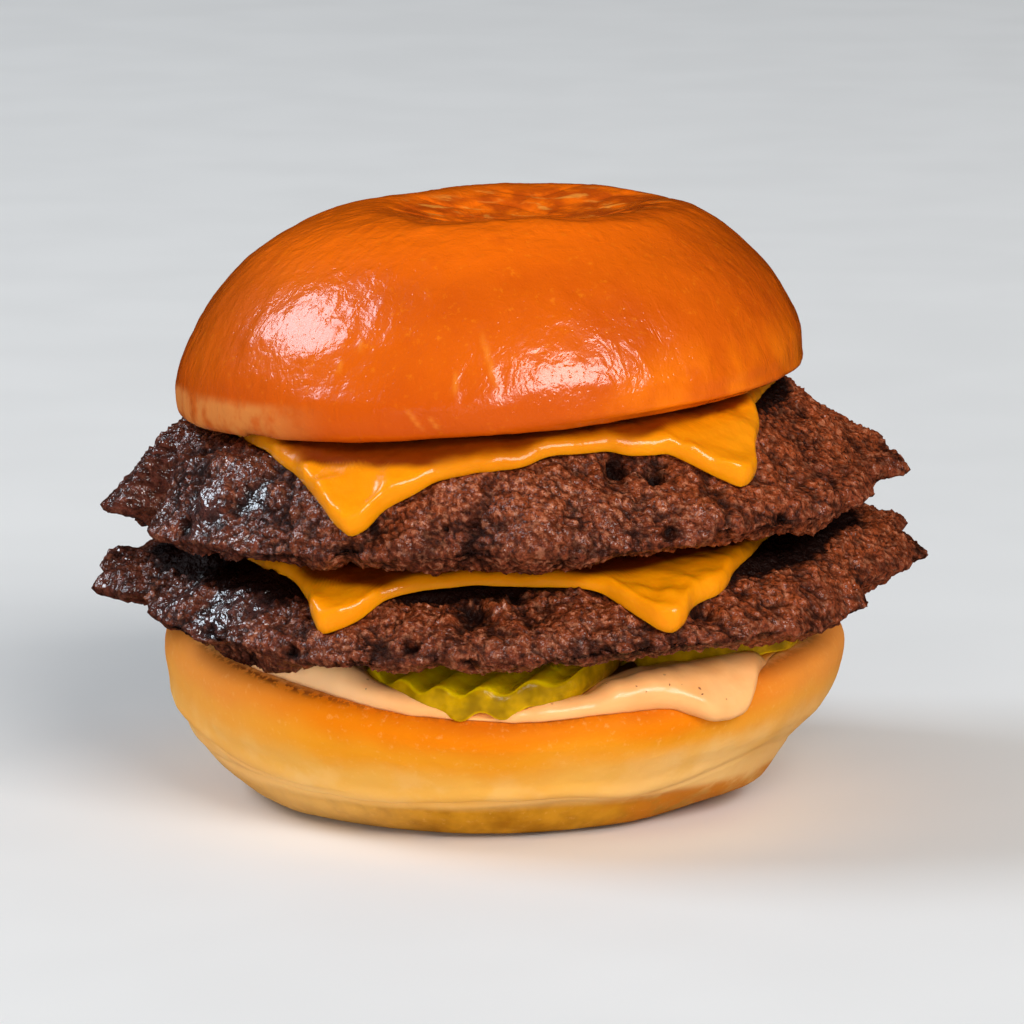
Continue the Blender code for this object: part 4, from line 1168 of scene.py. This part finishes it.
def look_cheese():
    g = Graph("melted_cheese")
    tone = g.noise(12.0, 2.0, 0.5)
    colour = g.ramp(tone, [(0.3, (0.82, 0.240, 0.0006)), (0.7, (0.90, 0.290, 0.0010))])
    colour = g.mix(g.math("MULTIPLY", g.attr("edge"), 0.35), colour, (0.90, 0.29, 0.0006))
    # painted shade: the cheese under the crown's edge and under the upper patty turns dark red
    colour = g.mix(g.math("MULTIPLY", g.attr("under"), 0.95), colour, (0.15, 0.011, 0.0003))
    bump = g.bump(g.math("ADD", g.noise(3.6, 2.0, 0.5), g.math("MULTIPLY", g.noise(1.0, 2.0, 0.5), 0.15)), 0.42, 0.8)
    g.set(
        Base_Color=colour,
        Roughness=g.between(g.noise(6.0, 2.0, 0.5), 0.3, 0.7, 0.34, 0.46),
        Normal=bump,
        Specular_IOR_Level=0.12,
        Subsurface_Weight=0.25,
        Subsurface_Radius=(1.0, 0.35, 0.05),
        Subsurface_Scale=0.0025,
        Coat_Weight=g.between(g.attr("under"), 0.0, 0.8, 0.75, 0.1),
        Coat_Roughness=0.12,
        Coat_Normal=bump,
    )
    return g.mat


def look_crown():
    g = Graph("glazed_crust")
    above, skin = g.attr("above"), g.attr("skin")
    xyz = g.xyz()
    tone = g.noise(22.0, 3.0, 0.5)
    fleck = g.noise(1.3, 3.0, 0.6)
    crust = g.ramp(tone, [(0.25, (0.545, 0.074, 0.0002)), (0.55, (0.65, 0.102, 0.0002)), (0.8, (0.72, 0.123, 0.0003))])
    # painted light: the top of the crown is made lighter
    crust = g.mix(g.between(above, 0.70, 1.04, 0.0, 0.90), crust, (0.96, 0.158, 0.0002))
    crust = g.mix(g.between(fleck, 0.58, 0.76, 0.0, 0.30), crust, (0.92, 0.26, 0.006))
    crust = g.mix(g.between(g.noise(5.0, 3.0, 0.6), 0.55, 0.75, 0.0, 0.30), crust, (0.56, 0.075, 0.0006))
    pale = g.math("MULTIPLY", g.between(above, 0.215, 0.15), g.between(xyz["X"], -0.026, -0.040))
    pale = g.math("MULTIPLY", pale, g.between(g.noise(5.0, 3.0, 0.6), 0.35, 0.60, 0.25, 1.0))
    low = g.between(above, 0.42, 0.16)
    crust = g.mix(g.math("MULTIPLY", low, 0.55), crust, (0.54, 0.066, 0.0003))
    warm = g.math("MULTIPLY", low, g.between(xyz["X"], 0.004, 0.026))
    warm = g.math("MULTIPLY", warm, g.between(g.noise(9.0, 3.0, 0.5), 0.35, 0.6, 0.3, 1.0))
    crust = g.mix(g.math("MULTIPLY", warm, 0.8), crust, (0.90, 0.190, 0.0004))
    crust = g.mix(g.math("MULTIPLY", pale, 0.85), crust, (0.62, 0.210, 0.045))
    # painted highlight: pale glints along the raised wrinkles
    crust = g.mix(g.math("MULTIPLY", g.attr("streak"), 0.35), crust, (0.90, 0.32, 0.03))
    crust = g.mix(g.math("MULTIPLY", g.attr("dent"), g.between(g.noise(5.0, 3.0, 0.6), 0.35, 0.6)), crust, (0.52, 0.07, 0.001))
    glint = g.between(g.noise(2.4, 2.0, 0.5, distort=0.5, stretch=(0.4, 1.0, 1.0)), 0.58, 0.68)
    crust = g.mix(g.math("MULTIPLY", g.math("MULTIPLY", g.attr("dent"), glint), 0.55), crust, (0.90, 0.36, 0.05))
    # painted shade: a dark line under the dent's front lip
    crust = g.mix(g.math("MULTIPLY", g.attr("lip"), 0.55), crust, (0.50, 0.062, 0.0004))
    crumb = g.ramp(g.noise(1.8, 3.0, 0.6), [(0.3, (0.50, 0.24, 0.05)), (0.7, (0.78, 0.46, 0.14))])
    colour = g.mix(skin, crumb, crust)
    pores = g.between(g.cells(1.0), 0.05, 0.28, 0.0, 1.0)
    swirl = g.noise(3.2, 2.0, 0.55, distort=1.1, stretch=(1.0, 1.0, 0.55))
    height = g.math("ADD", g.math("MULTIPLY", swirl, 0.8), g.math("MULTIPLY", g.noise(1.1, 2.0, 0.6, distort=0.6), 0.34))
    height = g.math("ADD", height, g.math("MULTIPLY", pores, 0.12))
    bump = g.bump(height, 0.27, 0.8)
    rough = g.math("ADD", g.between(g.noise(4.0, 3.0, 0.6), 0.3, 0.7, 0.42, 0.55), g.math("MULTIPLY", pale, 0.2))
    g.set(
        Base_Color=colour,
        Roughness=rough,
        Normal=bump,
        Specular_IOR_Level=0.04,
        Coat_Weight=g.math("MULTIPLY", g.between(pale, 0.0, 1.0, 1.0, 0.15), skin),
        Coat_IOR=1.6,
        Coat_Roughness=0.18,
        Coat_Normal=bump,
    )
    return g.mat


def look_heel():
    g = Graph("soft_crust")
    below, height, cut, toast = g.attr("below"), g.attr("height"), g.attr("cut"), g.attr("toast")
    xyz = g.xyz()
    tone = g.noise(20.0, 3.0, 0.5)
    wander = g.math("MULTIPLY", g.math("SUBTRACT", g.noise(18.0, 2.0, 0.5), 0.5), 0.26)
    level = g.math("ADD", below, wander)
    crust = g.ramp(
        level,
        [
            (0.00, (0.62, 0.130, 0.001)),
            (0.14, (0.74, 0.190, 0.0004)),
            (0.30, (0.78, 0.290, 0.010)),
            (0.50, (0.81, 0.410, 0.070)),
            (0.72, (0.84, 0.500, 0.165)),
        ],
    )
    cream = g.math("MULTIPLY", g.between(xyz["X"], 0.006, 0.030), g.between(level, 0.25, 0.45))
    cream = g.math("MULTIPLY", cream, g.between(g.noise(11.0, 3.0, 0.55), 0.36, 0.56, 0.35, 1.0))
    crust = g.mix(g.math("MULTIPLY", cream, 0.75), crust, (0.88, 0.53, 0.19))
    side = g.between(g.math("ABSOLUTE", xyz["X"]), 0.026, 0.050)
    crust = g.mix(g.math("MULTIPLY", side, 0.5), crust, (0.80, 0.34, 0.075))
    crust = g.mix(g.between(tone, 0.55, 0.8, 0.0, 0.3), crust, (0.70, 0.20, 0.006))
    blush = g.math("MULTIPLY", g.between(g.noise(7.0, 3.0, 0.55), 0.45, 0.68), g.between(level, 0.25, 0.6))
    crust = g.mix(g.math("MULTIPLY", blush, 0.5), crust, (0.86, 0.52, 0.18))
    under = g.between(height, 0.235, 0.17)
    brown = g.ramp(g.noise(7.0, 3.0, 0.6), [(0.3, (0.36, 0.140, 0.003)), (0.7, (0.62, 0.28, 0.014))])
    browned = g.math("MULTIPLY", under, g.between(g.math("ABSOLUTE", g.math("ADD", xyz["X"], -0.004)), 0.040, 0.012, 0.35, 1.0))
    crust = g.mix(browned, crust, brown)
    scorched = g.math("MULTIPLY", g.between(height, 0.27, 0.20), g.between(xyz["X"], 0.008, 0.024))
    scorched = g.math("MULTIPLY", scorched, g.between(g.noise(5.0, 3.0, 0.6), 0.36, 0.58, 0.15, 0.9))
    crust = g.mix(scorched, crust, (0.60, 0.185, 0.008))
    fleck = g.noise(1.0, 3.0, 0.6)
    crust = g.mix(g.between(fleck, 0.56, 0.78, 0.0, 0.22), crust, (0.92, 0.52, 0.16))
    crumb = g.ramp(g.noise(1.6, 3.0, 0.6), [(0.3, (0.60, 0.30, 0.07)), (0.7, (0.90, 0.58, 0.24))])
    colour = g.mix(cut, crust, crumb)
    dots = g.between(g.noise(1.1, 2.0, 0.6), 0.44, 0.54)
    colour = g.mix(g.math("MULTIPLY", toast, dots), colour, (0.20, 0.045, 0.006))
    height_b = g.math("ADD", g.noise(3.0, 3.0, 0.55), g.math("MULTIPLY", g.noise(0.8, 2.0, 0.6), 0.30))
    bump = g.bump(height_b, 0.16, 0.7)
    g.set(
        Base_Color=colour,
        Roughness=g.between(g.noise(6.0, 3.0, 0.6), 0.3, 0.7, 0.55, 0.70),
        Normal=bump,
        Specular_IOR_Level=0.08,
        Subsurface_Weight=0.12,
        Subsurface_Radius=(1.0, 0.45, 0.15),
        Subsurface_Scale=0.002,
    )
    return g.mat


def look_sauce():
    g = Graph("creamy_sauce")
    tone = g.noise(8.0, 2.0, 0.5)
    colour = g.ramp(tone, [(0.3, (0.90, 0.400, 0.130)), (0.7, (0.97, 0.480, 0.180))])
    # painted light: the left part of the sauce is made lighter
    colour = g.mix(g.between(g.xyz()["X"], -0.012, -0.030, 0.0, 0.8), colour, (1.0, 0.60, 0.30))
    spot = g.between(g.cells(2.3), 0.07, 0.12, 1.0, 0.0)
    pick = g.between(g.noise(3.3, 0.0, 0.5), 0.52, 0.58)
    colour = g.mix(g.math("MULTIPLY", g.math("MULTIPLY", spot, pick), 0.7), colour, (0.45, 0.17, 0.06))
    bump = g.bump(g.math("ADD", g.noise(3.2, 2.0, 0.5), g.math("MULTIPLY", g.noise(1.0, 1.0, 0.5), 0.12)), 0.30, 0.6)
    g.set(
        Base_Color=colour,
        Roughness=g.between(g.noise(5.0, 2.0, 0.5), 0.3, 0.7, 0.34, 0.46),
        Normal=bump,
        Specular_IOR_Level=0.3,
        Subsurface_Weight=0.25,
        Subsurface_Radius=(1.0, 0.6, 0.35),
        Subsurface_Scale=0.0015,
        Coat_Weight=0.4,
        Coat_Roughness=0.14,
        Coat_Normal=bump,
    )
    return g.mat


def look_spice():
    g = Graph("ground_spice")
    colour = g.ramp(g.noise(2.0, 2.0, 0.5), [(0.35, (0.22, 0.08, 0.03)), (0.6, (0.42, 0.14, 0.04))])
    g.set(Base_Color=colour, Roughness=g.between(g.noise(0.8, 1.0, 0.5), 0.3, 0.7, 0.4, 0.6),
          Normal=g.bump(g.noise(0.3, 1.0, 0.5), 0.05, 0.5))
    return g.mat


def look_pickle():
    g = Graph("pickle_flesh")
    out, skin, crest = g.attr("out"), g.attr("skin"), g.attr("crest")
    tone = g.noise(4.0, 3.0, 0.6)
    flesh = g.ramp(tone, [(0.3, (0.90, 0.560, 0.0006)), (0.7, (1.0, 0.700, 0.0012))])
    # painted shade: the valleys between the ridges are darker
    flesh = g.mix(g.between(crest, 0.5, 0.05, 0.0, 0.45), flesh, (0.50, 0.300, 0.0005))
    green = g.ramp(g.noise(3.4, 2.0, 0.6), [(0.3, (0.26, 0.140, 0.0004)), (0.7, (0.56, 0.310, 0.0006))])
    colour = g.mix(skin, flesh, green)
    bump = g.bump(g.math("ADD", g.noise(1.6, 3.0, 0.6), g.math("MULTIPLY", g.noise(0.5, 1.0, 0.5), 0.3)), 0.18, 0.7)
    g.set(
        Base_Color=colour,
        Roughness=g.between(g.noise(3.0, 2.0, 0.5), 0.3, 0.7, 0.24, 0.40),
        Normal=bump,
        Specular_IOR_Level=0.1,
        Subsurface_Weight=0.35,
        Subsurface_Radius=(1.0, 0.8, 0.10),
        Subsurface_Scale=0.003,
        Coat_Weight=0.2,
        Coat_Roughness=0.12,
        Coat_Normal=bump,
    )
    return g.mat


# ================================================================ pieces
meat, cheese, sauce_look, pickle = look_patty(), look_cheese(), look_sauce(), look_pickle()

lower, _ = patty(
    "patty_lower_meat", lower_top, lower_under, LOWER_SLICE, lower_tear, LOWER_OUT, LOWER_UP, LOWER_VALLEYS,
    LOWER_HOLES, LOWER_WET, (46.0, 7.0), 1000,
)
hand_in(lower, "patty_lower", meat)
upper, _ = patty(
    "patty_upper_meat", upper_top, upper_under, UPPER_SLICE, upper_tear, UPPER_OUT, UPPER_UP, UPPER_VALLEYS,
    UPPER_HOLES, UPPER_WET, (42.0, 0.0), 2000,
)
hand_in(upper, "patty_upper", meat)
slice_cover = (0.0, lambda b: 48.0 + 0.0 * b)
crown_cover = (CROWN_X, lambda b: CROWN_R - 0.4 + 0.0 * b)
hand_in(melted("cheese_lower_melt", lower_top, LOWER_SLICE, 3000, slice_cover, LOWER_BEADS), "cheese_lower", cheese)
hand_in(melted("cheese_upper_melt", upper_top, UPPER_SLICE, 3100, crown_cover, UPPER_BEADS), "cheese_upper", cheese)
hand_in(make_heel(), "heel", look_heel())
hand_in(make_crown(), "crown", look_crown())
sauce, sauce_skin = make_sauce()
hand_in(sauce, "sauce", sauce_look)
flecks = make_flecks(sauce_skin)
flecks.data.materials.append(look_spice())
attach(flecks, "root")
for i, chip in enumerate(CHIPS):
    hand_in(make_chip(chip[0] + "_chip", *chip[1:], seed=600 + 20 * i), chip[0], pickle)


# ================================================================ studio
def soft_box(name, azimuth, elevation, distance, size, watts, colour):
    light = bpy.data.lights.new(name, "AREA")
    light.shape = "RECTANGLE"
    light.size, light.size_y = size
    light.energy = watts
    light.color = colour
    obj = bpy.data.objects.new(name, light)
    a, e = math.radians(azimuth), math.radians(elevation)
    middle = Vector((0.0, 0.0, 0.05))
    # azimuth 0 is in front, positive to the right
    obj.location = middle + distance * Vector((math.sin(a) * math.cos(e), -math.cos(a) * math.cos(e), math.sin(e)))
    obj.rotation_euler = (middle - obj.location).to_track_quat("-Z", "Y").to_euler()
    bpy.context.scene.collection.objects.link(obj)
    return obj


soft_box("key_right", 29, 33, 3.6, (2.3, 1.4), 97.0, (1.0, 0.975, 0.94))
soft_box("fill_left", -99, 40, 3.6, (1.9, 1.35), 64.0, (0.78, 0.89, 1.0))
low = soft_box("fill_low", -14, 9, 3.4, (2.6, 0.9), 46.0, (1.0, 0.97, 0.93))
low.visible_glossy = False

world = bpy.data.worlds.new("studio")
bpy.context.scene.world = world
world.use_nodes = True
background = world.node_tree.nodes["Background"]
background.inputs["Color"].default_value = (1.0, 0.985, 0.965, 1.0)
background.inputs["Strength"].default_value = 0.25
world.cycles_visibility.glossy = False

floor_mesh = bpy.data.meshes.new("floor")
half = 6.0
floor_mesh.from_pydata([(-half, -half, 0), (half, -half, 0), (half, half, 0), (-half, half, 0)], [], [(0, 1, 2, 3)])
floor = bpy.data.objects.new("floor", floor_mesh)
bpy.context.scene.collection.objects.link(floor)
fg = Graph("pale_floor")
shade = fg.ramp(fg.noise(60.0, 2.0, 0.5), [(0.3, (0.83, 0.83, 0.83)), (0.7, (0.85, 0.85, 0.85))])
fg.set(Base_Color=shade, Roughness=fg.between(fg.noise(30.0, 2.0, 0.5), 0.3, 0.7, 0.75, 0.85), Specular_IOR_Level=0.1,
       Normal=fg.bump(fg.noise(2.0, 2.0, 0.5), 0.02, 0.2))
floor.data.materials.append(fg.mat)
floor.visible_glossy = False

scene = bpy.context.scene
scene.view_settings.view_transform = "Standard"
scene.view_settings.look = "None"

camera = bpy.data.cameras.new("camera")
camera_obj = bpy.data.objects.new("camera", camera)
scene.collection.objects.link(camera_obj)
CAM_D, CAM_EL = 0.9, math.radians(10.5)
aim = Vector(((1.2 + SHIFT[0]) * MM, SHIFT[1] * MM, 0.0425))
camera_obj.location = aim + Vector((0.0, -CAM_D * math.cos(CAM_EL), CAM_D * math.sin(CAM_EL)))
camera_obj.rotation_euler = (math.pi / 2 - CAM_EL, 0.0, 0.0)
camera.sensor_width = 36.0
camera.lens = 36.0 * CAM_D / 0.1577
camera.clip_start = 0.05
camera.clip_end = 50.0
scene.camera = camera_obj
